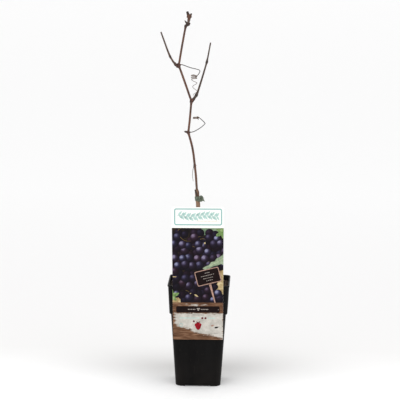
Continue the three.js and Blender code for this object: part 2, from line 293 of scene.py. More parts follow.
class Paint:
    """A material whose base colour, roughness and bump are worked out by nodes."""

    def __init__(self, name, colour=(0.5, 0.5, 0.5), roughness=0.5, specular=0.5):
        self.material = bpy.data.materials.new(name)
        self.material.use_nodes = True
        self.tree = self.material.node_tree
        self.surface = self.tree.nodes["Principled BSDF"]
        self.surface.inputs["Base Color"].default_value = (*colour, 1)
        self.surface.inputs["Roughness"].default_value = roughness
        self.surface.inputs["Specular IOR Level"].default_value = specular
        self.place = self.node("ShaderNodeTexCoord").outputs["Object"]

    def node(self, kind, **settings):
        made = self.tree.nodes.new(kind)
        for key, value in settings.items():
            setattr(made, key, value)
        return made

    def feed(self, socket, value):
        """Links an output to a socket, or sets the socket's own value."""
        if isinstance(value, bpy.types.NodeSocket):
            self.tree.links.new(value, socket)
        elif isinstance(value, tuple) and len(value) == 3 and socket.type == "RGBA":
            socket.default_value = (*value, 1)
        else:
            socket.default_value = value

    def stretched(self, scale):
        """The place in metres times a scale for each axis."""
        mapping = self.node("ShaderNodeMapping")
        self.feed(mapping.inputs["Vector"], self.place)
        mapping.inputs["Scale"].default_value = scale
        return mapping.outputs["Vector"]

    def noise(self, scale, detail=4.0, roughness=0.55, stretch=None, distortion=0.0):
        """A noise between 0 and 1, with features about 1 / scale metres wide."""
        texture = self.node("ShaderNodeTexNoise")
        self.feed(texture.inputs["Vector"], self.stretched(stretch) if stretch else self.place)
        texture.inputs["Scale"].default_value = scale
        texture.inputs["Detail"].default_value = detail
        texture.inputs["Roughness"].default_value = roughness
        texture.inputs["Distortion"].default_value = distortion
        return texture.outputs["Fac"]

    def ramp(self, value, *stops):
        """A colour, or a grey level, for each value. stops are (position, colour or level)."""
        ramp = self.node("ShaderNodeValToRGB")
        elements = ramp.color_ramp.elements
        while len(elements) < len(stops):
            elements.new(0.5)
        for element, (position, colour) in zip(elements, stops):
            element.position = position
            element.color = (*colour, 1) if isinstance(colour, tuple) else (colour,) * 3 + (1,)
        self.feed(ramp.inputs["Fac"], value)
        return ramp.outputs["Color"]

    def mix(self, factor, a, b, blend="MIX"):
        mix = self.node("ShaderNodeMix", data_type="RGBA", blend_type=blend)
        self.feed(mix.inputs[0], factor)
        self.feed(mix.inputs[6], a)
        self.feed(mix.inputs[7], b)
        return mix.outputs[2]

    def math(self, operation, a, b=0.0):
        made = self.node("ShaderNodeMath", operation=operation)
        self.feed(made.inputs[0], a)
        self.feed(made.inputs[1], b)
        return made.outputs[0]

    def tone(self):
        """The three values each vertex carries, as outputs."""
        attribute = self.node("ShaderNodeAttribute", attribute_name="Tone")
        split = self.node("ShaderNodeSeparateColor")
        self.feed(split.inputs[0], attribute.outputs["Color"])
        return split.outputs

    def height(self):
        """Height above the floor, in metres."""
        split = self.node("ShaderNodeSeparateXYZ")
        self.feed(split.inputs[0], self.place)
        return split.outputs["Z"]

    def colour(self, value):
        self.feed(self.surface.inputs["Base Color"], value)

    def roughness(self, value):
        self.feed(self.surface.inputs["Roughness"], value)

    def bump(self, height, distance, strength=1.0):
        """Relief from a height between 0 and 1, as deep as distance in metres."""
        bump = self.node("ShaderNodeBump")
        bump.inputs["Strength"].default_value = strength
        bump.inputs["Distance"].default_value = distance
        self.feed(bump.inputs["Height"], height)
        self.tree.links.new(bump.outputs["Normal"], self.surface.inputs["Normal"])


def slot_colour(slot):
    """A material slot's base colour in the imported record."""
    entry = next(m for m in frame["record"]["materials"] if m["slot"] == slot)
    return tuple(entry["base_color"][:3])


def shaded(colour, factor):
    return tuple(min(1.0, c * factor) for c in colour)


def pot_plastic():
    """Black injection-moulded plastic: satin, with flow marks, scuffs, and a lighter colour in patches
    towards the foot.
    """
    black = shaded(slot_colour("pot_plastic"), 0.33)
    paint = Paint("pot_plastic", black, 0.42, specular=0.06)
    flow = paint.noise(60, 3, stretch=(1, 1, 0.08))
    base = paint.ramp(flow, (0.3, shaded(black, 0.7)), (0.7, shaded(black, 1.35)))
    # the colour turns lighter in patches towards the foot, within about 6 cm of the floor
    towards_foot = paint.ramp(paint.math("MULTIPLY", paint.height(), 16), (0.0, 1.0), (1.0, 0.0))
    foot_patches = paint.ramp(paint.noise(45, 6), (0.35, 0.2), (0.7, 1.0))
    foot_lightening = paint.math("MULTIPLY", towards_foot, foot_patches)
    lightened_foot = paint.mix(paint.math("MULTIPLY", foot_lightening, 0.3), base, (0.026, 0.021, 0.018))
    scuffs = paint.ramp(paint.noise(220, 2, stretch=(1, 1, 0.25), distortion=1.5), (0.66, 0.0), (0.72, 1.0))
    paint.colour(paint.mix(paint.math("MULTIPLY", scuffs, 0.3), lightened_foot, (0.022, 0.019, 0.017)))
    paint.roughness(paint.ramp(paint.noise(140, 4), (0.3, 0.36), (0.75, 0.52)))
    paint.bump(paint.noise(1400, 3), 0.00008, 0.6)
    return paint.material


def soil_material(name, brightness):
    """Dark peat and bark crumbs, each with its own brown."""
    brown = slot_colour("potting_soil")
    paint = Paint(name, brown, 0.95)
    mixed = paint.noise(260, 6, 0.65)
    base = paint.ramp(mixed, (0.3, shaded(brown, 0.35 * brightness)), (0.5, shaded(brown, brightness)),
                      (0.75, shaded(brown, 2.4 * brightness)))
    tone = paint.tone()["Red"]
    paint.colour(paint.mix(paint.math("MULTIPLY", tone, 0.75), base, shaded(brown, 3.2 * brightness)))
    paint.bump(paint.noise(900, 5, 0.7), 0.0004, 0.9)
    return paint.material


def bark_material(name, base, streak, patch, scale=1.0):
    """Bark with streaks along the wood. The vertex tone darkens the nodes, paints shade into the trunk's
    grooves, and greys the tips.
    """
    paint = Paint(name, base, 0.72)
    fibres = paint.noise(900 * scale, 5, 0.6, stretch=(1, 1, 0.07))
    patches = paint.noise(130 * scale, 4, 0.6, stretch=(1, 1, 0.4))
    dark, light = (shaded(base, factor) for factor in streak)
    streaked = paint.ramp(fibres, (0.28, dark), (0.5, base), (0.74, light))
    patched = paint.mix(paint.ramp(patches, (0.45, 0.0), (0.62, 0.75)), streaked, patch)
    tones = paint.tone()
    darkened = paint.mix(tones["Red"], patched, (0.016, 0.009, 0.007))
    paint.colour(paint.mix(tones["Green"], darkened, (0.11, 0.09, 0.078)))
    paint.roughness(paint.ramp(fibres, (0.3, 0.62), (0.7, 0.85)))
    paint.bump(paint.mix(0.5, fibres, paint.noise(2600 * scale, 3)), 0.00022, 0.8)
    return paint.material


def speckled(name, colour, roughness, spread, scale, bump):
    """One colour, a little uneven, with a fine grain, for small things."""
    paint = Paint(name, colour, roughness)
    field = paint.noise(scale, 4)
    paint.colour(paint.ramp(field, (0.3, shaded(colour, 1 - spread)), (0.7, shaded(colour, 1 + spread))))
    paint.bump(paint.noise(scale * 3, 3), bump, 0.6)
    return paint.material


def tendril_skin():
    """Dry tendrils: grey stalks, and brown where the vertex tone says so."""
    paint = Paint("tendril", (0.045, 0.038, 0.035), 0.75)
    field = paint.noise(420, 4)
    grey = paint.ramp(field, (0.3, (0.032, 0.028, 0.027)), (0.7, (0.085, 0.075, 0.07)))
    brown = paint.ramp(field, (0.3, (0.04, 0.019, 0.011)), (0.7, (0.15, 0.078, 0.042)))
    paint.colour(paint.mix(paint.tone()["Green"], grey, brown))
    paint.bump(paint.noise(1300, 3), 0.00006, 0.6)
    return paint.material


def ink(name, colour, spread=0.2, scale=300):
    """A printed ink, a little uneven, under the card's thin satin film."""
    paint = Paint(name, colour, INK_ROUGHNESS, specular=INK_SPECULAR)
    field = paint.noise(scale, 4)
    paint.colour(paint.ramp(field, (0.3, shaded(colour, 1 - spread)), (0.7, shaded(colour, 1 + spread))))
    return paint.material


# ------------------------------------------------------------------ pot

POT_WALL = 1.5 * MM
POT_BEAD = 3 * MM
POT_FOOT_ROUND = 1.2 * MM
POT_RIM_ROUND = 0.8 * MM
CORNER_STEPS = 10
ROUNDING = [math.radians(degrees) for degrees in (30, 60, 90)]


def rounded_square(half, corner, z):
    """A level ring of points round a square with round corners."""
    ring = []
    for quarter in range(4):
        turn = quarter * TAU / 4
        reach = half - corner
        centre = Matrix.Rotation(turn, 3, "Z") @ Vector((reach, reach, z))
        for k in range(CORNER_STEPS + 1):
            angle = turn + TAU / 4 * k / CORNER_STEPS
            ring.append(centre + Vector((math.cos(angle), math.sin(angle), 0)) * corner)
    return ring


def pot_widths():
    """The CAD pot's half-width as a function of height, the height under its collar, and its top."""
    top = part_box("pot")[1][2]
    arrays = node_arrays("pot")

    def half(z):
        return float(cut_points(arrays, z)[:, 0].max())

    levels = np.unique(np.round(arrays[0][:, 2], 5))
    return half, min(z for z in levels if 0.1 < z < top - 1 * MM), top


def build_pot():
    """The pot's shell as level rings, up its outside, over the rim and down its inside."""
    half, shoulder, top = pot_widths()
    collar_foot = shoulder + 1.6 * MM
    bead = POT_BEAD

    def body(z):
        return half(4 * MM) + (half(shoulder - MM) - half(4 * MM)) * (z - 4 * MM) / (shoulder - 5 * MM)

    def collar(z):
        foot = half(collar_foot + 2 * MM)
        head = half(top - bead - 3 * MM)
        return foot + (head - foot) * (z - collar_foot) / (top - bead - collar_foot)

    def corner(z):
        return (13 - 4 * z / top) * MM

    rings = []

    def ring(z, width, extra_corner=0.0):
        rings.append(rounded_square(width, corner(z) + extra_corner, z))

    ring(0, body(0) - POT_FOOT_ROUND, -POT_FOOT_ROUND)
    for a in ROUNDING:
        ring(POT_FOOT_ROUND * (1 - math.cos(a)), body(0) - POT_FOOT_ROUND * (1 - math.sin(a)))
    for k in range(1, 14):
        z = POT_FOOT_ROUND + (shoulder - 2.2 * MM) * k / 13
        ring(z, body(z))
    ring(shoulder - 0.3 * MM, body(shoulder) + 0.25 * MM)
    ring(shoulder + 0.3 * MM, body(shoulder) + 0.9 * MM)
    ring(collar_foot - 0.9 * MM, collar(collar_foot) - 0.7 * MM)
    ring(collar_foot - 0.3 * MM, collar(collar_foot) - 0.12 * MM)
    ring(collar_foot + 0.5 * MM, collar(collar_foot + 0.5 * MM))
    for k in range(1, 8):
        z = collar_foot + 0.5 * MM + (top - bead - 1.6 * MM - collar_foot) * k / 7
        ring(z, collar(z))
    outer = half(top - MM)
    ring(top - bead - 0.3 * MM, outer - 0.35 * MM)
    ring(top - bead + 0.3 * MM, outer - 0.05 * MM)
    ring(top - 0.9 * MM, outer)
    for a in ROUNDING:
        ring(top - POT_RIM_ROUND * (1 - math.sin(a)), outer - POT_RIM_ROUND * (1 - math.cos(a)))
    inner = collar(top) - POT_WALL
    ring(top, inner + 0.5 * MM)
    ring(top - 0.2 * MM, inner + 0.15 * MM)
    ring(top - 0.6 * MM, inner)
    for k in range(1, 5):
        z = top - 0.6 * MM - (top - collar_foot - 2 * MM) * k / 4
        ring(z, collar(z) - POT_WALL)
    ring(shoulder, body(shoulder) - POT_WALL)
    ring(3.5 * MM, body(3.5 * MM) - POT_WALL)

    columns = len(rings[0])
    verts = [v for r in rings for v in r]
    shape = Shape()
    shape.add(verts, tube_faces(len(rings), columns))
    pot = shape.build("pot_shell", MATERIALS["pot_plastic"])
    cut_drains(pot, body(0))
    sharpen(pot, 35)
    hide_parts("pot")


def cut_drains(pot, half):
    """Cuts the four drain notches under the pot's edges, with three holes in each."""
    cutter = bmesh.new()
    for turn in range(4):
        place = Matrix.Rotation(turn * TAU / 4, 4, "Z")
        notch = Matrix.Translation((0, -half, 0)) @ Matrix.Diagonal((45 * MM, 24 * MM, 4 * MM, 1))
        bmesh.ops.create_cube(cutter, size=1, matrix=place @ notch)
    holes = bmesh.new()
    for turn in range(4):
        place = Matrix.Rotation(turn * TAU / 4, 4, "Z")
        for step in (-1, 0, 1):
            centre = Matrix.Translation((step * 15 * MM, 7.5 * MM - half, 0))
            bmesh.ops.create_cone(holes, cap_ends=True, segments=24, radius1=3.2 * MM, radius2=3.2 * MM,
                                  depth=14 * MM, matrix=place @ centre)
    for source in (cutter, holes):
        mesh = bpy.data.meshes.new("drain_cutter")
        source.to_mesh(mesh)
        source.free()
        tool = add_object("drain_cutter", mesh)
        cut = pot.modifiers.new("cut", "BOOLEAN")
        cut.operation = "DIFFERENCE"
        cut.solver = "EXACT"
        cut.object = tool
        made = bpy.data.meshes.new_from_object(pot.evaluated_get(bpy.context.evaluated_depsgraph_get()))
        pot.modifiers.clear()
        pot.data = made
        bpy.data.objects.remove(tool)


def sharpen(piece, degrees):
    """Smooth shading, with edges sharper than this angle left crisp."""
    mesh = piece.data
    mesh.shade_smooth()
    sharp = mesh.attributes.get("sharp_edge") or mesh.attributes.new("sharp_edge", "BOOLEAN", "EDGE")
    bm = bmesh.new()
    bm.from_mesh(mesh)
    limit = math.radians(degrees)
    flags = [len(e.link_faces) == 2 and e.calc_face_angle(0.0) > limit for e in bm.edges]
    bm.free()
    sharp.data.foreach_set("value", flags)


# ------------------------------------------------------------------ soil

def soil_level(foot, top):
    """The height of the soil's surface as a function of place, with a low mound round the trunk's foot."""
    def level(x, y):
        away = math.hypot(x - foot.x, y - foot.y)
        mound = 3.2 * MM * math.exp(-(away / (15 * MM)) ** 2)
        broad = 1.1 * MM * wave(x * 55, y * 55, 3.0)
        fine = 0.8 * MM * wave(x * 260, y * 260, 8.0)
        return top + 0.7 * MM + mound + broad + fine
    return level


SOIL_GRID = 90
CRUMBS = 1900
SPREAD_CRUMBS = 1500    # the rest lie round the trunk's foot
FIBRES = 70


def build_soil():
    """The uneven surface over the CAD's soil, with crumbs and fibres on it."""
    soil_low, soil_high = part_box("soil")
    foot = centre_line("trunk", 2)[0]
    half = (soil_high[0] - soil_low[0]) / 2 - 0.6 * MM
    level = soil_level(foot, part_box("pot")[1][2] - 10 * MM)
    build_soil_surface(half, level)
    build_crumbs(foot, half, level)
    build_fibres(foot, half, level)
    paint_node("soil", "soil")


def build_soil_surface(half, level):
    verts, tones = [], []
    for row in range(SOIL_GRID):
        for column in range(SOIL_GRID):
            x = half * (2 * column / (SOIL_GRID - 1) - 1)
            y = half * (2 * row / (SOIL_GRID - 1) - 1)
            reach = max(abs(x), abs(y))
            pull = 1 - 0.018 * (min(abs(x), abs(y)) / half) ** 8 * (reach / half) ** 4
            verts.append(Vector((x * pull, y * pull, level(x, y))))
            tones.append((0.25 + 0.25 * wave(x * 300, y * 300, 1.0), 0.0, 0.0))
    surface = Shape()
    surface.add(verts, grid_faces(SOIL_GRID, SOIL_GRID, closed=False), tones)
    piece = surface.build("soil_surface", MATERIALS["soil"])
    thicken = piece.modifiers.new("thickness", "SOLIDIFY")
    thicken.thickness = 2.5 * MM


def build_crumbs(foot, half, level):
    crumbs = Shape()
    for k in range(CRUMBS):
        x = rng.uniform(-half, half) * 0.97
        y = rng.uniform(-half, half) * 0.97
        if k >= SPREAD_CRUMBS:
            around, away = rng.uniform(0, TAU), rng.uniform(6.0, 19.0) * MM
            x = foot.x + away * math.cos(around)
            y = foot.y + away * math.sin(around)
        if math.hypot(x - foot.x, y - foot.y) < 6 * MM:
            continue
        size = MM * rng.choice((0.5, 0.7, 0.9, 1.1, 1.4, 1.9))
        flat = Vector((rng.uniform(0.7, 1.5), rng.uniform(0.7, 1.3), rng.uniform(0.4, 0.9))) * size
        verts, faces = lump(Vector((0, 0, 0)), flat, k * 1.3, rows=4, columns=6, rough=0.9)
        spin = Matrix.Rotation(rng.uniform(0, TAU), 3, "Z") @ Matrix.Rotation(rng.uniform(-0.5, 0.5), 3, "X")
        place = Vector((x, y, level(x, y) + 0.15 * size))
        crumbs.add([spin @ v + place for v in verts], faces, (rng.random() ** 2, 0.0, 0.0))
    crumbs.build("soil_crumbs", MATERIALS["soil_crumbs"], smooth=False)


def build_fibres(foot, half, level):
    fibres = Shape()
    for _ in range(FIBRES):
        x = rng.uniform(-half, half) * 0.93
        y = rng.uniform(-half, half) * 0.93
        if math.hypot(x - foot.x, y - foot.y) < 9 * MM:
            continue
        length = rng.uniform(3, 8) * MM
        turn = rng.uniform(0, TAU)
        way = Vector((math.cos(turn), math.sin(turn), rng.uniform(-0.1, 0.25)))
        start = Vector((x, y, level(x, y) + 0.4 * MM))
        bend = Vector((-way.y, way.x, 0.3)) * rng.uniform(-0.15, 0.15) * length
        line = smooth_line([start, start + way * length / 2 + bend, start + way * length], 0.8 * MM)
        thick = rng.uniform(0.2, 0.5) * MM
        fibres.add(*skin(line, lambda d: thick, 6))
    fibres.tones = [(0.9, 0.0, 0.0)] * len(fibres.verts)
    fibres.build("soil_fibres", MATERIALS["soil_crumbs"])


# ------------------------------------------------------------------ label

LEAF_STEPS = 14
VINE_LEAF_STEPS = 150
PRINT_BLEED = 1.4 * MM     # the print's heights are counted from this far under the card's lower edge


class LabelFrame:
    """The CAD label's front face: u to the right from its middle, v up from the foot of the print."""

    def __init__(self):
        verts, _ = node_arrays("label")
        low, high = verts[:, 2].min(), verts[:, 2].max()
        bottom = verts[verts[:, 2] < low + 3 * MM]
        top = verts[verts[:, 2] > high - 3 * MM]
        foot = Vector(((bottom[:, 0].min() + bottom[:, 0].max()) / 2, bottom[:, 1].min(), low))
        head = Vector(((top[:, 0].min() + top[:, 0].max()) / 2, top[:, 1].min(), high))
        self.up = (head - foot).normalized()
        self.origin = foot - self.up * PRINT_BLEED
        right = Vector((1, 0, 0))
        self.right = (right - self.up * right.dot(self.up)).normalized()
        self.out = self.right.cross(self.up)
        self.height = (head - self.origin).length
        self.half_bottom = float(bottom[:, 0].max() - bottom[:, 0].min()) / 2
        self.half_top = float(top[:, 0].max() - top[:, 0].min()) / 2

    def at(self, u, v, lift):
        return self.origin + self.right * u + self.up * v + self.out * lift

    def half(self, v):
        """Half the card's width at the height v."""
        return self.half_bottom + (self.half_top - self.half_bottom) * v / self.height

    def full_width(self, v0, v1):
        """Outline in millimetres of the card between two heights."""
        w0, w1 = (self.half(v * MM) / MM - 0.05 for v in (v0, v1))
        return [(-w0, v0), (w0, v0), (w1, v1), (-w1, v1)]


def printed(card, name, colour, outlines, lift):
    """Flat printed shapes, lift mm over the card. An outline is a list of (u, v) in mm, anticlockwise."""
    shape = Shape()
    for outline in outlines:
        shape.add([card.at(u * MM, v * MM, lift * MM) for u, v in outline], [tuple(range(len(outline)))])
    return shape.build("label_print_" + name, MATERIALS["print_" + colour], smooth=False)


def printed_in_picture(card, name, colour, outlines, lift):
    """Printed shapes within the picture, trimmed to it."""
    clip_to_picture(printed(card, name, colour, outlines, lift), card)


def printed_ring(card, name, colour, outer, inner, lift):
    """A flat ring between two outlines with the same number of points."""
    count = len(outer)
    faces = [(k, (k + 1) % count, count + (k + 1) % count, count + k) for k in range(count)]
    shape = Shape()
    shape.add([card.at(u * MM, v * MM, lift * MM) for u, v in outer + inner], faces)
    shape.build("label_print_" + name, MATERIALS["print_" + colour], smooth=False)


def rounded_box(u0, v0, u1, v1, corner, steps=6):
    """Outline of a box with round corners."""
    points = []
    centres = ((u1 - corner, v1 - corner), (u0 + corner, v1 - corner), (u0 + corner, v0 + corner),
               (u1 - corner, v0 + corner))
    for quarter, (cu, cv) in enumerate(centres):
        for k in range(steps + 1):
            angle = TAU / 4 * (quarter + k / steps)
            points.append((cu + corner * math.cos(angle), cv + corner * math.sin(angle)))
    return points


def turned(points, centre, degrees):
    c, s = math.cos(math.radians(degrees)), math.sin(math.radians(degrees))
    return [(centre[0] + (u - centre[0]) * c - (v - centre[1]) * s,
             centre[1] + (u - centre[0]) * s + (v - centre[1]) * c) for u, v in points]


def disc(u, v, radius, steps=24):
    return [(u + radius * math.cos(TAU * k / steps), v + radius * math.sin(TAU * k / steps))
            for k in range(steps)]


def leaf_outline(u, v, length, width, turn):
    """A simple pointed leaf from (u, v) in the direction turn."""
    upper = []
    for k in range(LEAF_STEPS + 1):
        t = k / LEAF_STEPS
        upper.append((t * length, width / 2 * math.sin(math.pi * t ** 0.8) * (1 - 0.25 * t)))
    lower = [(a, -b) for a, b in reversed(upper[1:-1])]
    outline = [(u + a, v + b) for a, b in lower + upper]
    outline = turned(outline, (u, v), turn)
    area = sum(a[0] * b[1] - b[0] * a[1] for a, b in zip(outline, outline[1:] + outline[:1]))
    return outline if area > 0 else outline[::-1]


def vine_leaf(u, v, radius, turn):
    """A broad vine leaf: five pointed lobes, a toothed edge, and a notch at its stalk."""
    lobes = ((0.0, 1.0, 0.62), (1.05, 0.86, 0.5), (-1.05, 0.86, 0.5), (2.15, 0.66, 0.5), (-2.15, 0.66, 0.5))
    outline = []
    for k in range(VINE_LEAF_STEPS):
        angle = TAU * k / VINE_LEAF_STEPS - math.pi
        reach = 0.46
        for centre, length, width in lobes:
            away = abs(angle - centre) / width
            reach = max(reach, length * (1 - 0.62 * min(1.0, away) ** 0.9))
        tooth = 1 + 0.045 * (2 * ((k * 19 / VINE_LEAF_STEPS) % 1) - 1)
        notch = 1 - 0.7 * math.exp(-((abs(angle) - math.pi) / 0.2) ** 2)
        r = radius * reach * tooth * notch
        outline.append((u + r * math.cos(angle), v + r * math.sin(angle)))
    return turned(outline, (u, v), turn)


def leaf_edge(corners):
    """A closed outline that runs smoothly through the corners."""
    points = [Vector((u, v, 0)) for u, v in (*corners, corners[0])]
    return [(p.x, p.y) for p in smooth_line(points, 0.8)[:-1]]


def ribbon(points, width):
    """Outline of a thin line that narrows to its end."""
    left, right = [], []
    for k, (u, v) in enumerate(points):
        a = points[max(k - 1, 0)]
        b = points[min(k + 1, len(points) - 1)]
        span = math.hypot(b[0] - a[0], b[1] - a[1])
        half = width / 2 * (1 - 0.6 * k / (len(points) - 1))
        across = (-(b[1] - a[1]) / span * half, (b[0] - a[0]) / span * half)
        left.append((u + across[0], v + across[1]))
        right.append((u - across[0], v - across[1]))
    return right + left[::-1]


def bent_line(start, end, bend, steps=8):
    """Points from start to end that bow sideways by bend."""
    span = math.hypot(end[0] - start[0], end[1] - start[1])
    across = (-(end[1] - start[1]) / span, (end[0] - start[0]) / span)
    points = []
    for k in range(steps + 1):
        t = k / steps
        bow = bend * 4 * t * (1 - t)
        points.append((start[0] + (end[0] - start[0]) * t + across[0] * bow,
                       start[1] + (end[1] - start[1]) * t + across[1] * bow))
    return points


def clip_to_picture(piece, card):
    """Trims a printed piece to the card's sides and to the picture's foot and head."""
    bm = bmesh.new()
    bm.from_mesh(piece.data)
    slope = (card.half_top - card.half_bottom) / card.height
    margin = 0.05 * MM
    planes = [
        (card.at(0, PICTURE_FOOT * MM, 0), -card.up),
        (card.at(0, HEADER_FOOT * MM, 0), card.up),
        (card.at(card.half_bottom - margin, 0, 0), card.right - card.up * slope),
        (card.at(margin - card.half_bottom, 0, 0), -card.right - card.up * slope),
    ]
    for point, outward in planes:
        everything = bm.verts[:] + bm.edges[:] + bm.faces[:]
        bmesh.ops.bisect_plane(bm, geom=everything, plane_co=point, plane_no=outward, clear_outer=True)
    bm.to_mesh(piece.data)
    bm.free()


HEADER_FOOT = 198.6
PICTURE_FOOT = 67.6
LEAF_EDGE = ((12, 125.6), (18, 127), (26, 131.5), (34, 133.6), (40, 136), (47, 134), (47, 154), (41, 151),
             (36.5, 147.6), (32, 145.6), (28.5, 140.4), (23, 139.2), (19.5, 134.6), (13.5, 131.8), (8.5, 128))


VEINS = (((47, 148), (10, 128.6), 1.2, 1.0), ((38, 143.5), (36, 147.6), 0.4, 0.6),
         ((29, 138.5), (26.5, 140.4), 0.3, 0.6), ((33, 141), (35.5, 134.8), -0.5, 0.6),
         ((23, 135.8), (24.5, 131.6), -0.4, 0.6))       # start, end, bow, width
STEMS = (((-34, 194), (-25, 199), 1.2), ((-30, 183), (-12, 176), -3), ((-3, 178), (6, 184), 2),
         ((4, 179), (16, 176), 2.5), ((10, 146), (22, 139), -1), ((-43, 135), (-38, 128), 1),
         ((-21, 89), (-12, 82), 1.5), ((-7, 83), (2, 76), 1.5), ((-12, 170), (-2, 166), -2))
STEM_WIDTH = 1.1
LOOSE_GRAPES = [    # u, v, radius, lift, brightness, plumness
    (34.5, 84.0, 6.9, 0.5, 0.8, 0.0), (26.0, 72.5, 5.6, 0.5, 0.8, 0.0), (41.0, 71.0, 5.6, 0.3, 0.12, 0.0),
    (30.0, 95.5, 4.8, 0.42, 0.14, 0.1), (-36.0, 82.5, 6.6, 0.5, 0.6, 0.0),
    (-42.5, 104.0, 7.4, 0.5, 0.16, 0.1), (-37.0, 96.0, 6.6, 0.42, 0.12, 0.2)]
GRAPE_DOME = 0.14


def in_bunch(u, v, spare=0.0):
    """True inside the printed bunches of grapes."""
    lower_right = v > 108 - spare or u < 27 + spare or (u < 38 and v < 78)
    beside_board = not (u > 33 - spare and 108 - spare < v < 133 - spare)
    lower_left = v > 96 - (u + 44) * 1.3 - spare
    top_right = v < 193 - max(0, u - 2) * 0.3 + spare
    return lower_right and beside_board and lower_left and top_right


def berry_places():
    """Places, radii, lifts, brightness and plumness of the printed grapes, in two layers."""
    places = []
    across, upward = 13.2, 11.8
    rows = int((HEADER_FOOT - PICTURE_FOOT) / upward) + 2
    for layer, lift in ((0, 0.10), (1, 0.34)):
        for row in range(rows):
            for column in range(8):
                u = -47 + (column + (row + layer) % 2 / 2) * across + rng.uniform(-2.6, 2.6)
                v = PICTURE_FOOT + 3 + (row + 0.4 * layer) * upward + rng.uniform(-2.4, 2.4)
                crowd = wave(u / 19, v / 19, 5.0)
                if not in_bunch(u, v, 3 - 5 * layer) or layer == 1 and crowd < -0.22:
                    continue
                bright = 0.2 + 0.16 * layer + (0.85 * max(0.0, crowd + 0.22) if layer else 0.0)
                bright *= rng.uniform(0.7, 1.15) * (0.6 + 0.4 * max(0.0, min(1.0, (v - 105) / 35)))
                radius = rng.uniform(6.3, 8.1)
                places.append((u, v, radius, lift + rng.uniform(0, 0.18), bright, rng.random() ** 2))
    return places


def berry_tone(x, y, bright, plum):
    """How light a grape looks at a place on its disc: bloom at the upper left, dark at the edge."""
    facing = math.sqrt(max(0.0, 1 - x * x - y * y))
    bloom = math.exp(-((x + 0.4) ** 2 + (y - 0.42) ** 2) / 0.24)
    body = 0.24 * max(0.0, facing + 0.45 * (y - x)) + 0.04
    return (min(1.0, (bloom * 1.25 + body) * bright * min(1.0, facing * 1.6 + 0.05)), plum, 0.0)


def build_berries(card):
    """The printed grapes: low domes that carry how light the picture is at each point."""
    rings = (0.0, 0.2, 0.4, 0.58, 0.74, 0.86, 0.95, 1.0)
    steps = 26
    shape = Shape()
    for u, v, radius, lift, bright, plum in berry_places() + LOOSE_GRAPES:
        verts = [card.at(u * MM, v * MM, (lift + GRAPE_DOME) * MM)]
        tones = [berry_tone(0, 0, bright, plum)]
        for ring in rings[1:]:
            for k in range(steps):
                angle = TAU * k / steps
                x, y = ring * math.cos(angle), ring * math.sin(angle)
                dome = (lift + GRAPE_DOME * (1 - ring ** 2)) * MM
                verts.append(card.at((u + x * radius) * MM, (v + y * radius) * MM, dome))
                tones.append(berry_tone(x, y, bright, plum))
        shape.add(verts, disc_faces(len(rings), steps), tones)
    berries = shape.build("label_print_grapes", MATERIALS["print_grapes"])
    clip_to_picture(berries, card)


def build_picture(card):
    """The label's picture of dark grapes, with leaves, stems and bright gaps round them."""
    printed(card, "backdrop", "backdrop", [card.full_width(PICTURE_FOOT, HEADER_FOOT)], 0.04)
    straw = [ragged_outline(22, 60, 54, 125, 0.08, 2.0, 80), ragged_outline(-56, 60, -24, 84, 0.1, 3.0, 80)]
    printed_in_picture(card, "straw", "straw", straw, 0.06)
    blurred = [ragged_outline(6, 186, 54, 214, 0.1, 6.0, 80)]
    printed_in_picture(card, "blurred_leaves", "blurred_leaf", blurred, 0.06)
    build_berries(card)

    printed_in_picture(card, "leaf", "leaf", [leaf_edge(LEAF_EDGE)], 0.68)
    veins = [ribbon(bent_line(*ends), width) for *ends, width in VEINS]
    printed_in_picture(card, "leaf_veins", "vein", veins, 0.7)
    green = [vine_leaf(42, 192, 14, 215), vine_leaf(-46, 79, 15, 20)]
    printed_in_picture(card, "green_leaves", "green_leaf", green, 0.68)
    stems = [ribbon(bent_line(*ends), STEM_WIDTH) for ends in STEMS]
    printed_in_picture(card, "stems", "stem", stems, 0.44)
    gaps = [leaf_outline(11.5, 170.5, 4.4, 3.0, 75), leaf_outline(-6, 82, 8, 3.2, -32),
            leaf_outline(-14, 83, 3, 1.7, 25), rounded_box(-44, 112.2, -37, 113.8, 0.6, 3)]
    printed_in_picture(card, "gaps", "straw", gaps, 0.6)
    build_board(card)


BOARD_MIDDLE = (17.4, 113.6)
BOARD_TILT = 14.2
CHALK_ROWS = ((10, 1), (24, 0), (20, 1), (13, 2))   # width, shift to the right
CHALK_PITCH = 3


def board_outline(half_width, half_height, corner):
    """The slate board's outline, tilted."""
    u, v = BOARD_MIDDLE
    box = rounded_box(u - half_width, v - half_height, u + half_width, v + half_height, corner)
    return turned(box, BOARD_MIDDLE, BOARD_TILT)


def build_board(card):
    """The small slate board on a stick, printed over the grapes, with plain chalk rules."""
    printed_in_picture(card, "stick", "pine", [ribbon([(21.0, 100), (30.4, 64)], 3.8)], 0.74)
    outer, inner = board_outline(21.2, 13.2, 2.6), board_outline(19.8, 11.8, 1.6)
    printed(card, "slate", "slate", [inner], 0.76)
    printed_ring(card, "board_frame", "pine", outer, inner, 0.78)
    rules = []
    for row, (width, shift) in enumerate(CHALK_ROWS):
        v = BOARD_MIDDLE[1] + 7.0 - row * 4.6
        u = BOARD_MIDDLE[0] + shift - width / 2
        for piece in range(int(width / CHALK_PITCH)):
            start = u + piece * CHALK_PITCH
            end, head = start + rng.uniform(1.6, 2.6), v + rng.uniform(0.3, 0.6)
            rules.append(turned(rounded_box(start, v - 0.45, end, head, 0.3, 2), BOARD_MIDDLE, BOARD_TILT))
    printed(card, "chalk", "chalk", rules, 0.8)


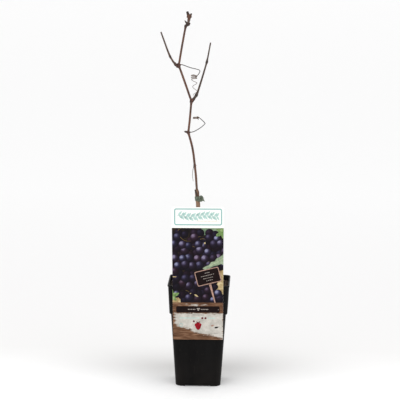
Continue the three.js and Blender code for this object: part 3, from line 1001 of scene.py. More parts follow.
def ragged_outline(u0, v0, u1, v1, amount, seed, points=260):
    """A box outline whose edge wanders in and out."""
    outline = []
    centre = ((u0 + u1) / 2, (v0 + v1) / 2)
    for k in range(points):
        angle = TAU * k / points
        c, s = math.cos(angle), math.sin(angle)
        square = (abs(c) ** 7 + abs(s) ** 7) ** (-1 / 7)
        wander = wave(c * 3.1, s * 3.1, seed) + 0.6 * wave(c * 11, s * 11, seed)
        r = square * (1 + amount * wander)
        outline.append((centre[0] + c * r * (u1 - u0) / 2, centre[1] + s * r * (v1 - v0) / 2))
    return outline


WORN_EDGE = ((-45, 34), (-40, 31), (-36, 26), (-16, 20.5), (-6, 14.5), (17, 10.5), (36, 5.5), (45, 2))


def worn_paint(u, v):
    """How much white paint is left on the printed boards at a place, from 0 to 1."""
    streaks = wave(u / 9, v / 2.0, 3.0) + 0.7 * wave(u / 3.0, v / 0.9, 7.0)
    specks = wave(u / 1.1, v / 1.1, 9.0)
    over_edge = v - np.interp(u, [p[0] for p in WORN_EDGE], [p[1] for p in WORN_EDGE])
    under_bar = 48.5 - v
    inside = min(over_edge, under_bar * 1.5, (u + 40.0) * 1.0, (43.5 - u) * 1.6)
    top_streak = 1.5 - abs(v - 63.2) * 1.3 - abs(u + 4) * 0.12
    amount = max(inside, top_streak) / 3.2 + 1.25 * streaks + 0.5 * specks
    worn_in = 0.55 * max(0.0, specks - 0.28) * 2
    return max(0.0, min(1.0, amount + 0.35)) * (1 - min(0.7, worn_in))


def build_foot(card):
    """The foot of the label: boards whose white paint has worn away along a ragged slope."""
    columns, rows = 150, 108
    foot = PRINT_BLEED / MM + 0.2
    shape = Shape()
    verts, tones = [], []
    for row in range(rows + 1):
        v = foot + (PICTURE_FOOT - foot) * row / rows
        corner = max(0.0, 2.0 - (v - foot))
        inset = 2.0 - math.sqrt(max(0.0, 4.0 - corner ** 2)) + 0.06
        half = card.half(v * MM) / MM - inset
        for column in range(columns + 1):
            u = half * (2 * column / columns - 1)
            verts.append(card.at(u * MM, v * MM, 0.05 * MM))
            plank = 0.6 * wave(u / 26, v / 1.7, 1.0) + 0.5 * wave(u / 9, v / 0.7, 2.0)
            tones.append((worn_paint(u, v), 0.5 + plank * 0.6, 0.0))
    shape.add(verts, grid_faces(rows + 1, columns + 1, closed=False), tones)
    shape.build("label_print_boards", MATERIALS["print_boards"], smooth=False)


def dashes(u0, u1, v, height, pitch):
    """A rule made of short dashes."""
    outlines = []
    u = u0
    while u + pitch * 0.5 < u1:
        end = u + pitch * rng.uniform(0.55, 0.8)
        outlines.append(rounded_box(u, v - height / 2, end, v + height / 2, 0.25, 2))
        u += pitch
    return outlines


def build_foot_marks(card):
    """A name bar without a name, rules without words, a plain red fruit and small plain marks."""
    printed(card, "name_bar", "slate", [rounded_box(-37.4, 49.6, 37.4, 61.0, 2.4)], 0.12)
    pale = dashes(-17, -3.6, 55.4, 1.6, 2.7) + dashes(5.2, 18, 55.4, 1.6, 2.7)
    pale += [disc(-0.6, 56.6, 1.3), disc(2.0, 56.6, 1.3), disc(0.7, 54.3, 1.3), disc(35.2, 55.2, 0.6)]
    printed(card, "bar_marks", "chalk", pale, 0.14)
    teal = dashes(-31.5, 2.0, 40.0, 2.0, 2.3) + dashes(17.0, 31, 40.0, 2.0, 2.3)
    printed(card, "rules", "pale_teal", teal, 0.13)
    printed(card, "title_rule", "grey", dashes(-10, 11, 45.6, 1.3, 1.9), 0.13)
    small = dashes(-8.5, 6.5, 13.0, 0.6, 1.6) + dashes(22, 35, 13.0, 0.5, 1.6)
    printed(card, "small_rules", "slate", small, 0.13)
    red_dots = [disc(7.6, 39.9, 1.8), disc(13.0, 39.9, 1.8), disc(-7.1, 34.2, 1.7)]
    printed(card, "small_fruit", "dark_red", red_dots, 0.14)
    build_red_fruit(card, 0.3, 26.6)
    printed_ring(card, "ring", "teal", disc(-29, 27.5, 3.2), disc(-29, 27.5, 2.6), 0.14)
    printed(card, "tan_dot", "pine", [leaf_outline(22.4, 25.6, 6.2, 3.4, 25)], 0.13)
    printed(card, "dark_leaf", "slate", [leaf_outline(28.2, 22.6, 8.2, 3.6, 14)], 0.14)


PIPS = ((-1.4, 1), (0, 1.1), (1.4, 1), (-0.7, 0), (0.7, 0), (-1.8, -0.2), (1.8, -0.2), (0, -1.3))


def build_red_fruit(card, u, v):
    """A plain red fruit, broad at its shoulders and narrow at its foot, with pips and two leaves."""
    outline = []
    for k in range(48):
        angle = TAU * k / 48
        c, s = math.cos(angle), math.sin(angle)
        width = 6.4 * (0.62 + 0.38 * (s + 1) / 2) * (1.12 if s > 0 else 1.0)
        outline.append((u + width * c, v + (5.0 if s > 0 else 7.6) * s))
    printed(card, "red_fruit", "red", [outline], 0.15)
    leaves = [leaf_outline(u, v + 5.0, 4.6, 2.2, 30), leaf_outline(u, v + 5.0, 4.2, 2.0, 150)]
    printed(card, "fruit_leaves", "dark_red", leaves, 0.17)
    printed(card, "pips", "dark_red", [disc(u + 2.1 * c, v + 2.0 * s, 0.32, 8) for c, s in PIPS], 0.17)


def build_header(card):
    """The white head of the label: a thin rounded border round a plain vine sprig."""
    outer = rounded_box(-40.4, 203.2, 41.6, 232.7, 3.6)
    inner = rounded_box(-38.3, 205.3, 39.5, 230.6, 2.0)
    printed_ring(card, "border", "teal", outer, inner, 0.05)
    stem = [(u, 219.4 + 1.5 * math.sin(u / 8)) for u in range(-35, 37, 2)]
    sprig = [ribbon(stem, 1.0)]
    for k, (u, v) in enumerate(stem[1:-1:2]):
        up = 1 if k % 2 == 0 else -1
        sprig.append(leaf_outline(u, v, 9.6, 4.4, up * 52))
        sprig.append(leaf_outline(u + 1.6, v, 7.6, 3.6, -up * 56))
    printed(card, "sprig", "pale_teal", sprig, 0.06)
    printed(card, "header_rule", "orange", dashes(-2, 36, 210.6, 0.8, 2.4), 0.06)


def paint_node(node, material):
    """Gives a CAD node that stays visible this material in every slot."""
    for material_slot in frame["nodes"][node].material_slots:
        material_slot.material = MATERIALS[material]


def build_label():
    card = LabelFrame()
    paint_node("label", "label_white")
    build_picture(card)
    build_foot(card)
    build_foot_marks(card)
    build_header(card)


# ------------------------------------------------------------------ vine

def fibre_relief(seed, depth, ribs, along=35.0):
    """Relief of fibres that run along a limb: finer and coarser grooves."""
    def relief(angle, distance):
        c, s = math.cos(angle), math.sin(angle)
        coarse = wave(c * ribs * 0.35, s * ribs * 0.35, distance * along + seed)
        fine = wave(c * ribs, s * ribs, distance * along * 2.2 + seed * 3)
        return depth * (0.75 * coarse + 0.6 * fine)
    return relief


def streak_at(angle, along):
    """How dark the bark's long streaks are, from 0 up."""
    return max(0.0, wave(math.cos(angle) * 2, math.sin(angle) * 2, along))


def bump_at(distance, centre, width):
    return math.exp(-((distance - centre) / width) ** 2)


def bud(shape, base, way, length, width, tone):
    """A pointed winter bud with overlapping scales, grown from base in the direction way."""
    way = way.normalized()
    side = way.orthogonal().normalized()
    up = way.cross(side)
    rows, columns = 16, 14
    verts, tones = [], []
    for row in range(rows + 1):
        t = row / rows
        profile = math.sin(math.pi * min(1.0, 0.16 + 0.84 * t) ** 0.85) ** 0.8 if t < 1 else 0.02
        for k in range(columns):
            angle = TAU * k / columns
            scale_edge = 0.07 * (1 if (t * 3.2 + 0.16 * math.sin(angle * 2)) % 1 < 0.55 else 0)
            r = width / 2 * max(0.03, profile * (0.96 + scale_edge))
            offset = side * math.cos(angle) * r + up * math.sin(angle) * r * 0.82
            verts.append(base + way * length * (t - 0.12) + offset)
            tones.append((tone + 0.25 * scale_edge / 0.07 * 0.5, 0.0, 0.0))
    shape.add(verts, tube_faces(rows + 1, columns), tones)


def ball_form(centre, size, seed=0.0, rough=0.2):
    return lump(Vector(centre), size, seed, rows=10, columns=14, rough=rough)


def build_trunk():
    """The old wood: flared foot, fibrous grooves, knuckles, and loose strips of bark."""
    arrays = node_arrays("trunk")
    low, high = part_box("trunk")
    coarse = centre_line("trunk", 16)
    line = smooth_line(coarse, 0.7 * MM)
    distances = lengths_along(line)
    total = distances[-1]
    radii = [slice_at(arrays, min(max(p.z, low[2] + 0.3 * MM), high[2] - 2.2 * MM))[1] for p in line]

    def radius_at(distance):
        at = np.interp(distance, distances, radii)
        head = max(0.0, (distance - (total - 12 * MM)) / (12 * MM))
        return at * math.sqrt(1 - head ** 1.8 * 0.58)

    grooves = fibre_relief(2.0, 0.42 * MM, 9)
    wander = fibre_relief(9.0, 0.35 * MM, 2.2, along=60)

    def relief(angle, distance):
        lift = 1 + 0.8 * math.exp(-distance / (10 * MM)) - 0.4 * bump_at(distance, total, 5 * MM)
        return lift * (grooves(angle, distance) + wander(angle, distance))

    def tone_at(angle, distance):
        # painted shade: the bark is painted darker where its grooves are deep
        depth = grooves(angle, distance) / (0.42 * MM)
        right_patch = max(0.0, math.cos(angle + 0.2)) * bump_at(distance, total - 7 * MM, 6 * MM)
        dark = max(0.0, -depth) * 0.7 + 0.5 * right_patch + 0.45 * bump_at(distance, total, 9 * MM)
        return (min(0.85, dark), 0.0, 0.0)

    shape = Shape()
    shape.add(*skin(line, radius_at, 40, relief, tone_at))
    trunk = shape.build("trunk_bark", MATERIALS["old_bark"])
    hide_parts("trunk")

    strips = Shape()
    frames = carried_frames(line)
    for k in range(46):
        begin = rng.uniform(0.03, 0.86) * total if k % 5 else total - rng.uniform(12, 22) * MM
        length = rng.uniform(9, 34) * MM
        angle = rng.uniform(0, TAU)
        width = rng.uniform(0.5, 1.5) * MM
        peel = rng.uniform(0.2, 1.5) * MM
        end_up = rng.random() < 0.5
        add_strip(strips, line, frames, distances, radius_at, begin, length, angle, width, peel, end_up)
    strips.build("trunk_bark_strips", MATERIALS["old_bark"])


def add_strip(shape, line, frames, distances, radius_at, begin, length, angle, width, peel, end_up):
    """A thin strip of bark that lies on the trunk and lifts away at one end."""
    total = distances[-1]
    rows = 14
    verts, tones = [], []
    drift = rng.uniform(-0.25, 0.25)
    dark = rng.uniform(0.0, 0.45)
    for row in range(rows):
        t = row / (rows - 1)
        distance = min(begin + length * t, total - 1 * MM)
        index = min(int(distance / total * (len(line) - 1)), len(line) - 1)
        along, side, up = frames[index]
        free = t if end_up else 1 - t
        lift = 0.12 * MM + peel * max(0.0, (free - 0.55) / 0.45) ** 2
        half = width / 2 * (0.35 + 0.65 * math.sin(math.pi * min(1, 0.12 + t * 0.88)))
        radius = radius_at(distance) + lift
        turn = angle + drift * t
        spread = half / max(radius, 1 * MM)
        for place, thick in ((-spread, 0), (0, 0.12 * MM), (spread, 0), (0, -0.1 * MM)):
            a = turn + place
            verts.append(line[index] + (side * math.cos(a) + up * math.sin(a)) * (radius + thick))
            tones.append((dark, 0.0, 0.0))
    shape.add(verts, tube_faces(rows, 4), tones)


def cane_nodes():
    """Centre and radius of each node of the cane, from the lowest up."""
    return [knob_of(f"cane_{k}") for k in range(1, 6)]


def build_cane(nodes):
    """The one-year cane: one continuous skin through its nodes, zigzagging from each to the next."""
    points = [centre_line("trunk", 6, from_top=9 * MM)[-1]]
    for k, (centre, _) in enumerate(nodes, start=1):
        inside = centre_line(f"cane_{k}", 7, from_bottom=4 * MM, from_top=8 * MM)
        points += [p for p in inside if p.z > points[-1].z + 2 * MM]
        points.append(centre)
    line = smooth_line(points, 0.55 * MM)
    distances = lengths_along(line)
    marks = []
    for centre, radius in nodes:
        nearest = min(range(len(line)), key=lambda i: (line[i] - centre).length)
        marks.append((distances[nearest], radius))
    fibres = fibre_relief(5.0, 0.13 * MM, 7, along=30)
    knobbly = fibre_relief(8.0, 0.35 * MM, 2.4, along=260)
    foot_radius, head_radius = 1.95 * MM, 1.74 * MM
    total = distances[-1]

    def base(distance):
        return foot_radius + (head_radius - foot_radius) * distance / total

    def radius_at(distance):
        swell = 0.0
        for mark, radius in marks:
            above = distance > mark
            swell += (radius - base(mark)) * bump_at(distance, mark, (2.4 if above else 3.4) * MM)
        return base(distance) + swell

    def relief(angle, distance):
        near = sum(bump_at(distance, mark, 4 * MM) for mark, _ in marks)
        return fibres(angle, distance) + near * knobbly(angle, distance)

    def tone_at(angle, distance):
        near = sum(bump_at(distance, mark + 0.5 * MM, 2.4 * MM) for mark, _ in marks)
        streak = streak_at(angle, distance * 40)
        foot = 0.35 * math.exp(-distance / (30 * MM))
        return (min(0.85, 0.7 * near + 0.4 * streak), foot, 0.0)

    shape = Shape()
    shape.add(*skin(line, radius_at, 26, relief, tone_at))
    cane = shape.build("cane_bark", MATERIALS["cane_bark"])
    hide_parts(*(f"cane_{k}" for k in range(1, 6)))
    return line


def build_shoot(name, seed, joints, swelling, widening, material):
    """A side shoot's skin, from inside its node to its cut end. swelling is extra width at its joints."""
    arrays = node_arrays(name)
    low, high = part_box(name)
    points = centre_line(name, 26)
    start = points[0] - (points[1] - points[0]).normalized() * 2.2 * MM
    line = smooth_line([start, *points], 0.5 * MM)
    distances = lengths_along(line)
    radii = [slice_at(arrays, min(max(p.z, low[2] + 0.8 * MM), high[2] - 0.8 * MM))[1] for p in line]
    total = distances[-1]
    fibres = fibre_relief(seed, 0.11 * MM, 6, along=34)
    knobbly = fibre_relief(seed + 3, 0.3 * MM, 2.4, along=240)

    def radius_at(distance):
        at = float(np.interp(distance, distances, radii))
        end = max(0.0, (distance - (total - 0.7 * MM)) / (0.7 * MM))
        return (min(at, 2.4 * MM) * widening + swelling * MM * near_joint(distance)) * (1 - 0.18 * end)

    def near_joint(distance):
        return sum(bump_at(distance, joint * total, 2.2 * MM) for joint in joints)

    def relief(angle, distance):
        foot = math.exp(-distance / (4 * MM))
        return fibres(angle, distance) + (near_joint(distance) + foot) * knobbly(angle, distance)

    def tone_at(angle, distance):
        streak = streak_at(angle, distance * 45 + seed)
        dark = 0.75 * near_joint(distance) + 0.5 * math.exp(-distance / (5 * MM)) + 0.35 * streak
        grey = 0.25 * max(0.0, distance / total - 0.55) / 0.45
        return (min(0.8, dark), grey, 0.0)

    shape = Shape()
    shape.add(*skin(line, radius_at, 22, relief, tone_at))
    bark = shape.build(f"{name}_bark", MATERIALS[material])
    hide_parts(name)
    cut_face(f"{name}_cut_face", line, radius_at(total) * 0.9)
    return line


def cut_face(name, line, radius):
    """The pruned end of a shoot: pale wood round a darker pith, slightly dished."""
    along = (line[-1] - line[-4]).normalized()
    side = along.orthogonal().normalized()
    up = along.cross(side)
    rings = (0.0, 0.3, 0.38, 0.7, 0.9, 1.0)
    lifts = (0.02, 0.02, 0.1, 0.16, 0.16, 0.02)
    steps = 20
    verts = [line[-1] + along * lifts[0] * MM]
    tones = [(0.7, 0.0, 0.0)]
    for ring, lift in zip(rings[1:], lifts[1:]):
        for k in range(steps):
            angle = TAU * k / steps
            offset = (side * math.cos(angle) + up * math.sin(angle)) * radius * ring
            verts.append(line[-1] + offset + along * lift * MM)
            tones.append((0.7 if ring < 0.35 else 0.1 + 0.5 * (ring > 0.95), 0.0, 0.0))
    shape = Shape()
    shape.add(verts, disc_faces(len(rings), steps), tones)
    shape.build(name, MATERIALS["cut_wood"])


# Millimetres from each of the four lower nodes' centres: (offset, half-widths) of its fused lumps.
NODE_LUMPS = (
    (((0.3, 0, 0), (2.3, 2.3, 2.0)),),
    (((0, 0, 0), (2.9, 2.8, 2.7)), ((-2.2, 0, 0.4), (2.2, 1.9, 1.6)), ((2.4, 0.3, 0.1), (1.8, 1.3, 1.2))),
    (((0, 0, 0), (2.9, 2.8, 3.2)), ((1.5, -0.4, 3.0), (1.9, 1.8, 2.2)), ((-1.2, 0.2, -1.6), (1.6, 1.6, 1.9))),
    (((0, 0, 0), (3.3, 3.0, 3.1)), ((-4.0, -0.2, 0.6), (2.7, 2.2, 2.3)),
     ((-1.8, 0.2, -2.3), (2.4, 2.1, 2.0)), ((3.0, 0.2, 1.5), (1.7, 1.4, 1.2))),
)
RED_HEARTS = ((0, 0, 0), (0, 0, 0), (1.2, 0, 1.4), (-2.4, -1.0, 0.6))   # from each node's centre, mm
# Node counted from 0, offset in mm, direction, length and width in mm, and tone of each bud.
BUDS = (
    (1, (-3.0, -0.2, 0.6), (-1, -0.15, 0.2), 5.4, 4.0, 0.7),
    (1, (2.6, -0.4, 0.2), (1, -0.2, 0.1), 3.0, 2.0, 0.8),
    (2, (2.0, -0.8, 4.0), (0.55, -0.35, 0.75), 4.0, 2.8, 0.35),
    (3, (-4.6, -0.8, 2.2), (-0.5, -0.35, 0.8), 3.6, 2.6, 0.3),
    (3, (-2.0, -1.4, 2.0), (-0.2, -0.6, 0.8), 3.2, 2.4, 0.4),
    (4, (1.9, -0.4, 4.9), (-0.56, -0.1, 0.83), 7.6, 3.3, 0.75),
    (4, (6.2, -0.6, 4.2), (0.75, -0.3, 0.5), 3.0, 2.4, 0.55),
)
SCARS = ((1, -1), (2, 1), (3, -1), (0, -1))     # node counted from 0, and side: -1 left, 1 right


def build_swellings(nodes):
    """The fused swellings on the four lower nodes, redder at their hearts."""
    swellings = Shape()
    seed = 0
    for (centre, _), lumps, heart in zip(nodes, NODE_LUMPS, RED_HEARTS):
        parts = []
        for offset, size in lumps:
            seed += 1
            parts.append(ball_form(centre + mm(*offset), mm(*size), float(seed)))
        verts, faces = roughened(*fused(parts, 0.22 * MM), lambda p: 0.28 * MM * (
            noise.noise(p * 900) + 0.6 * noise.noise(p * 2300)))
        red = centre + mm(*heart)
        tones = []
        for v in verts:
            rim = min(1.0, (v - red).length / (4.2 * MM)) ** 2
            tones.append((min(0.9, 0.12 + 0.62 * rim + 0.3 * noise.noise(v * 500)), 0.0, 0.0))
        swellings.add(verts, faces, tones)
    swellings.build("cane_node_swellings", MATERIALS["node_bark"])


def build_node_growth(nodes, shoot_lines):
    """What grows on the cane's nodes: fused swellings, buds and leaf scars."""
    build_swellings(nodes)
    buds = Shape()
    for k, offset, way, length, width, tone in BUDS:
        bud(buds, nodes[k][0] + mm(*offset), Vector(way), length * MM, width * MM, tone)
    for name, line, joint in shoot_lines:
        at = line[int(joint * (len(line) - 1))]
        outward = Vector((1 if name == "right" else -1, -0.5, 0.9))
        bud(buds, at + outward.normalized() * 1.0 * MM, outward, 2.6 * MM, 1.7 * MM, 0.6)
    buds.build("buds", MATERIALS["bud"])

    scars = Shape()
    for k, side in SCARS:
        centre, radius = nodes[k]
        seat = centre + Vector((side, -0.35, -0.5)).normalized() * radius * 1.02
        scars.add(*ball_form(seat, mm(0.75, 1.25, 1.1), centre.z * 90, rough=0.35), (0.55, 0.0, 0.0))
    scars.build("leaf_scars", MATERIALS["node_bark"])


def build_head(nodes):
    """The cut-back head over the highest node: a dark knob, a neck, and two stubs with dead ends."""
    arrays = node_arrays("forked_tip")
    low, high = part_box("forked_tip")
    top_centre = nodes[-1][0]
    knob = max((slice_at(arrays, z) for z in np.linspace(low[2] + 1.5 * MM, low[2] + 6 * MM, 12)),
               key=lambda cut: cut[1])[0]
    fork_z = high[2] - 9.8 * MM
    fork = slice_at(arrays, fork_z)[0]
    above = np.linspace(fork_z + 3.4 * MM, high[2] - 1 * MM, 8)
    split = fork.x + 0.6 * MM
    left_line, right_line = [fork], [fork]
    for z in above:
        left_line.append(slice_at(arrays, z, keep=lambda p: p[:, 0] < split)[0])
        if z < high[2] - 5.2 * MM:
            right_line.append(slice_at(arrays, z, keep=lambda p: p[:, 0] >= split)[0])
    right_line.append(right_line[-1] + (right_line[-1] - right_line[0]).normalized() * 1.6 * MM)

    def tube(points, radii):
        line = smooth_line(points, 0.5 * MM)
        total = lengths_along(line)[-1]
        return skin(line, lambda d: radii[0] + (radii[1] - radii[0]) * d / total, 18)[:2]

    forms = [
        ball_form(top_centre, mm(2.6, 2.5, 3.0), 1.5),
        ball_form(knob, mm(3.8, 3.2, 3.1), 2.5, rough=0.35),
        ball_form(knob + mm(2.6, -0.3, 1.6), mm(1.7, 1.5, 1.5), 3.5),
        tube([knob, (knob + fork) / 2 + Vector((0.4 * MM, 0, 0)), fork], (1.75 * MM, 3.1 * MM)),
        ball_form(fork + mm(0, 0, 0.2), mm(4.5, 3.2, 3.7), 4.5),
        tube(left_line, (2.9 * MM, 2.0 * MM)),
        tube(right_line, (2.3 * MM, 1.25 * MM)),
    ]
    verts, faces = fused(forms, 0.24 * MM, smoothing=8)

    def relief(p):
        stretched = Vector((p.x * 900, p.y * 900, p.z * 260))
        return 0.24 * MM * (noise.noise(stretched) + 0.7 * noise.noise(p * 1500))

    verts, faces = roughened(verts, faces, relief)
    tones = []
    for v in verts:
        knob_dark = math.exp(-((v - knob).length / (3.6 * MM)) ** 2)
        tip_dark = max(0.0, min(1.0, (v.z - fork.z - 2.6 * MM) / (3.0 * MM)))
        neck_pale = 0.5 * math.exp(-((v.z - knob.z - 5.2 * MM) / (2.2 * MM)) ** 2)
        tones.append((min(0.92, 1.1 * knob_dark + 0.6 * tip_dark + 0.28), neck_pale, 0.0))
    shape = Shape()
    shape.add(verts, faces, tones)
    head = shape.build("forked_tip_bark", MATERIALS["cane_bark"])
    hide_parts("forked_tip")


def build_pruned_stub():
    """The dead stub: dark cracked wood with a hollow end."""
    line = smooth_line(centre_line("pruned_stub", 5), 0.35 * MM)
    start = line[0] - (line[1] - line[0]).normalized() * 2.5 * MM
    line = [start, *line]
    total = lengths_along(line)[-1]
    cracks = fibre_relief(4.0, 0.35 * MM, 5, along=60)

    def radius_at(distance):
        knots = 0.12 * math.sin(distance * 900) + 0.1 * math.sin(distance * 2300)
        return (1.6 - 0.35 * distance / total + knots) * MM

    shape = Shape()
    verts, faces, tones = skin(line, radius_at, 24, cracks, lambda a, d: (0.3 + 0.4 * (d / total), 0, 0))
    verts[-1] = verts[-1] - (line[-1] - line[-2]).normalized() * 0.9 * MM
    shape.add(verts, faces, tones)
    stub = shape.build("pruned_stub_bark", MATERIALS["dead_wood"])
    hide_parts("pruned_stub")


def tendril(shape, points, thick, seed, coil=None, browned=0.0):
    """A dried tendril: a thin line through points that may end in a coil.

    coil is (centre, radius, turns, rise, start angle). browned is how brown a tendril without a coil is.
    """
    path = [Vector(p) for p in points]
    if coil:
        centre, radius, turns, rise, start = coil
        steps = int(turns * 14)
        for k in range(1, steps + 1):
            angle = start - TAU * turns * k / steps
            wobble = 1 + 0.06 * math.sin(k * 1.7 + seed)
            path.append(centre + Vector((math.cos(angle) * radius * wobble, math.sin(angle) * radius * wobble,
                                         rise * k / steps + 0.25 * MM * math.sin(k * 0.9))))
    line = smooth_line(path, 0.45 * MM)
    total = lengths_along(line)[-1]
    stalk = lengths_along(smooth_line(points, 0.45 * MM))[-1]
    fibres = fibre_relief(seed, 0.05 * MM, 3, along=90)

    def brown(distance):
        """The wound part of a tendril is thicker and browner than its stalk."""
        return max(0.0, min(1.0, (distance - stalk + 2 * MM) / (3 * MM))) if coil else browned

    def radius_at(distance):
        return thick * (1.15 - 0.4 * distance / total) * (1 + 0.3 * brown(distance))

    def tone_at(angle, distance):
        return (0.25 + 0.3 * wave(distance * 150, seed, 0), brown(distance), 0.0)

    shape.add(*skin(line, radius_at, 10, fibres, tone_at))


def build_tendrils(nodes):
    """Three dried tendrils, two of them with coils where they once held on, and a thin loose twist."""
    n0, n1, n3 = (nodes[k][0] for k in (0, 1, 3))
    shape = Shape()

    def from_node(node, *offsets):
        return [node + mm(*o) for o in offsets]

    upper = from_node(n3, (2.6, 0.2, 1.6), (7.5, 1.2, 0.8), (16.3, 3.4, -2.6), (21.5, 4.6, -4.3),
                      (28.6, 4.4, -5.9), (34.6, 2.6, -7.4), (36.2, 0.4, -9.6), (34.2, -2.8, -14.0),
                      (30.8, -4.4, -17.0))
    coil = (n3 + mm(26.3, 0, -15.6), 4.6 * MM, 2.3, -7.0 * MM, -math.pi / 2 + 0.5)
    tendril(shape, upper, 0.66 * MM, 1.0, coil)
    lower = from_node(n1, (2.4, 0.3, 0.3), (5.0, 1.6, 0.1), (10.2, 3.6, 1.4), (17.3, 4.2, 5.4),
                      (23.3, 3.2, 9.8), (28.0, 0.8, 14.6), (28.4, -0.4, 16.2), (25.2, -2.4, 20.0),
                      (17.2, -4.2, 26.9))
    coil = (n1 + mm(12.6, 0, 26.5), 4.3 * MM, 1.9, -3.4 * MM, -math.pi / 2 + 0.6)
    tendril(shape, lower, 0.66 * MM, 2.0, coil)
    fine = from_node(n0, (0.0, -1.6, 1.2), (-1.6, -2.2, -1.4), (-2.8, -2.4, -6.0), (-3.5, -2.4, -11.0),
                     (-3.7, -2.2, -18.8), (-2.4, -2.0, -27.4))
    tendril(shape, fine, 0.45 * MM, 3.0)
    axis = n3 + mm(26.8, 0.0, -23.6)
    twist = []
    for k in range(40):
        t = k / 39
        angle = 2.6 + TAU * 2.1 * t ** 0.85
        radius = (4.4 - 1.2 * t + 0.3 * math.sin(9 * t)) * MM
        twist.append(axis + Vector((1.6 * t * MM + radius * math.cos(angle), radius * math.sin(angle),
                                    -28 * MM * t)))
    tendril(shape, twist, 0.34 * MM, 5.0, browned=0.8)
    shape.build("tendrils", MATERIALS["tendril"])


# ------------------------------------------------------------------ tie

TIE_LOOPS = ((0.0, 3.3, 0.7), (1.9, 2.6, -0.8), (3.6, 3.6, 0.2))     # start angle, size in mm, lean
TIE_ENDS = ((0.6, -1.4, 6.8), (7.4, -1.0, -4.8), (6.2, -2.0, 1.6),
            (-5.6, -2.2, -4.8), (-5.2, -2.0, 3.6))      # from the knot, mm
TIE_TURNS = 2.15
TIE_STEPS = 109


def build_tie():
    """A soft plastic strap wound twice round the trunk and knotted on its right."""
    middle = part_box("tie")[1][2] - 6.9 * MM
    axis, trunk_radius = slice_at(node_arrays("trunk"), middle)
    shape = Shape()
    radius = trunk_radius + 0.55 * MM
    barks = [bark_tree(name) for name in ("trunk_bark", "trunk_bark_strips", "pruned_stub_bark")]

    def strap(points, width, thick, around, pointed=False):
        add_strap(shape, points, width * MM, thick * MM, around, axis, barks, pointed)

    wraps = []
    for k in range(TIE_STEPS + 1):
        t = k / TIE_STEPS
        angle = 0.3 + TAU * TIE_TURNS * t
        z = middle - 2.4 * MM + 4.4 * MM * t + 0.4 * MM * math.sin(angle * 1.3)
        grow = 0.35 * MM * t
        wraps.append(axis + Vector((math.cos(angle) * (radius + grow), math.sin(angle) * (radius + grow),
                                    z - axis.z)))
    strap(wraps, 4.9, 0.6, axis)
    knot = Vector((axis.x + radius + 1.3 * MM, axis.y - 3.2 * MM, middle))
    for turn, size, lean in TIE_LOOPS:
        loop = []
        for k in range(34):
            angle = turn + TAU * 0.95 * k / 33
            loop.append(knot + Vector((size * math.cos(angle), 0.8 * math.sin(angle + turn) - 0.4,
                                       size * (math.sin(angle) + lean * math.cos(angle) * 0.4))) * MM)
        strap(loop, 3.9, 0.9, knot + mm(0, 3, 0))
    strap([wraps[-1], (wraps[-1] + knot) / 2 + mm(0, -1, 0), knot], 3.2, 1.0, axis)
    for tip in TIE_ENDS:
        end = knot + mm(*tip)
        bend = (knot + end) / 2 + mm(0.8, -0.8, 0.3)
        strap([knot, bend, end], 5.0, 0.9, knot + Vector((0, 0.02, 0)), pointed=True)
    tie = shape.build("tie_strap", MATERIALS["tie_plastic"])
    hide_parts("tie")


BARK_GAP = 0.08 * MM
RAY_START = 30 * MM
LIFT_WINDOW = 4


def bark_tree(name):
    """A finished piece of bark, ready for rays."""
    mesh = bpy.data.objects[name].data
    return BVHTree.FromPolygons([v.co for v in mesh.vertices], [tuple(p.vertices) for p in mesh.polygons])


def bark_reach(vert, axis, barks):
    """How far the bark reaches from the axis, level with vert and on its side."""
    out = Vector((vert.x - axis.x, vert.y - axis.y, 0)).normalized()
    start = Vector((axis.x, axis.y, vert.z)) + out * RAY_START
    hits = [bark.ray_cast(start, -out, RAY_START)[3] for bark in barks]
    return max([RAY_START - hit for hit in hits if hit is not None], default=0.0)


def lift_off_bark(sections, axis, barks):
    """Moves a strap's sections straight out from the trunk until they clear the bark and the stub."""
    for _ in range(4):
        needs = [max([0.0] + [bark_reach(v, axis, barks) + BARK_GAP - math.hypot(v.x - axis.x, v.y - axis.y)
                              for v in section]) for section in sections]
        if not any(needs):
            return
        peaks = [max(needs[max(0, i - LIFT_WINDOW):i + LIFT_WINDOW + 1]) for i in range(len(needs))]
        for i, section in enumerate(sections):
            near = peaks[max(0, i - LIFT_WINDOW):i + LIFT_WINDOW + 1]
            out = sum(section, Vector()) / len(section) - axis
            out.z = 0
            section[:] = [v + out.normalized() * (sum(near) / len(near)) for v in section]


def add_strap(shape, points, width, thick, around, axis, barks, pointed=False):
    """A soft flat strap along points, its flat side towards the point or axis around, clear of the bark."""
    line = smooth_line(points, 0.5 * MM)
    total = lengths_along(line)[-1]
    sides = 14
    sections = []
    for i, (point, distance) in enumerate(zip(line, lengths_along(line))):
        along = (line[min(i + 1, len(line) - 1)] - line[max(i - 1, 0)]).normalized()
        outward = point - around
        outward.z = 0
        outward = (outward - along * outward.dot(along)).normalized()
        across = along.cross(outward)
        taper = 1.0
        if pointed:
            taper = max(0.12, 1 - (distance / total) ** 2.2)
        crease = 1 + 0.12 * math.sin(distance * 1500 + point.z * 900)
        section = []
        for k in range(sides):
            angle = TAU * k / sides
            flat = math.copysign(abs(math.cos(angle)) ** 0.6, math.cos(angle))
            section.append(point + across * flat * width / 2 * taper
                           + outward * math.sin(angle) * thick / 2 * crease * max(taper, 0.4))
        sections.append(section)
    lift_off_bark(sections, axis, barks)
    verts = [vert for section in sections for vert in section]
    shape.add(verts, tube_faces(len(line), sides))


# ------------------------------------------------------------------ printed inks

INK_ROUGHNESS = 0.4
INK_SPECULAR = 0.07

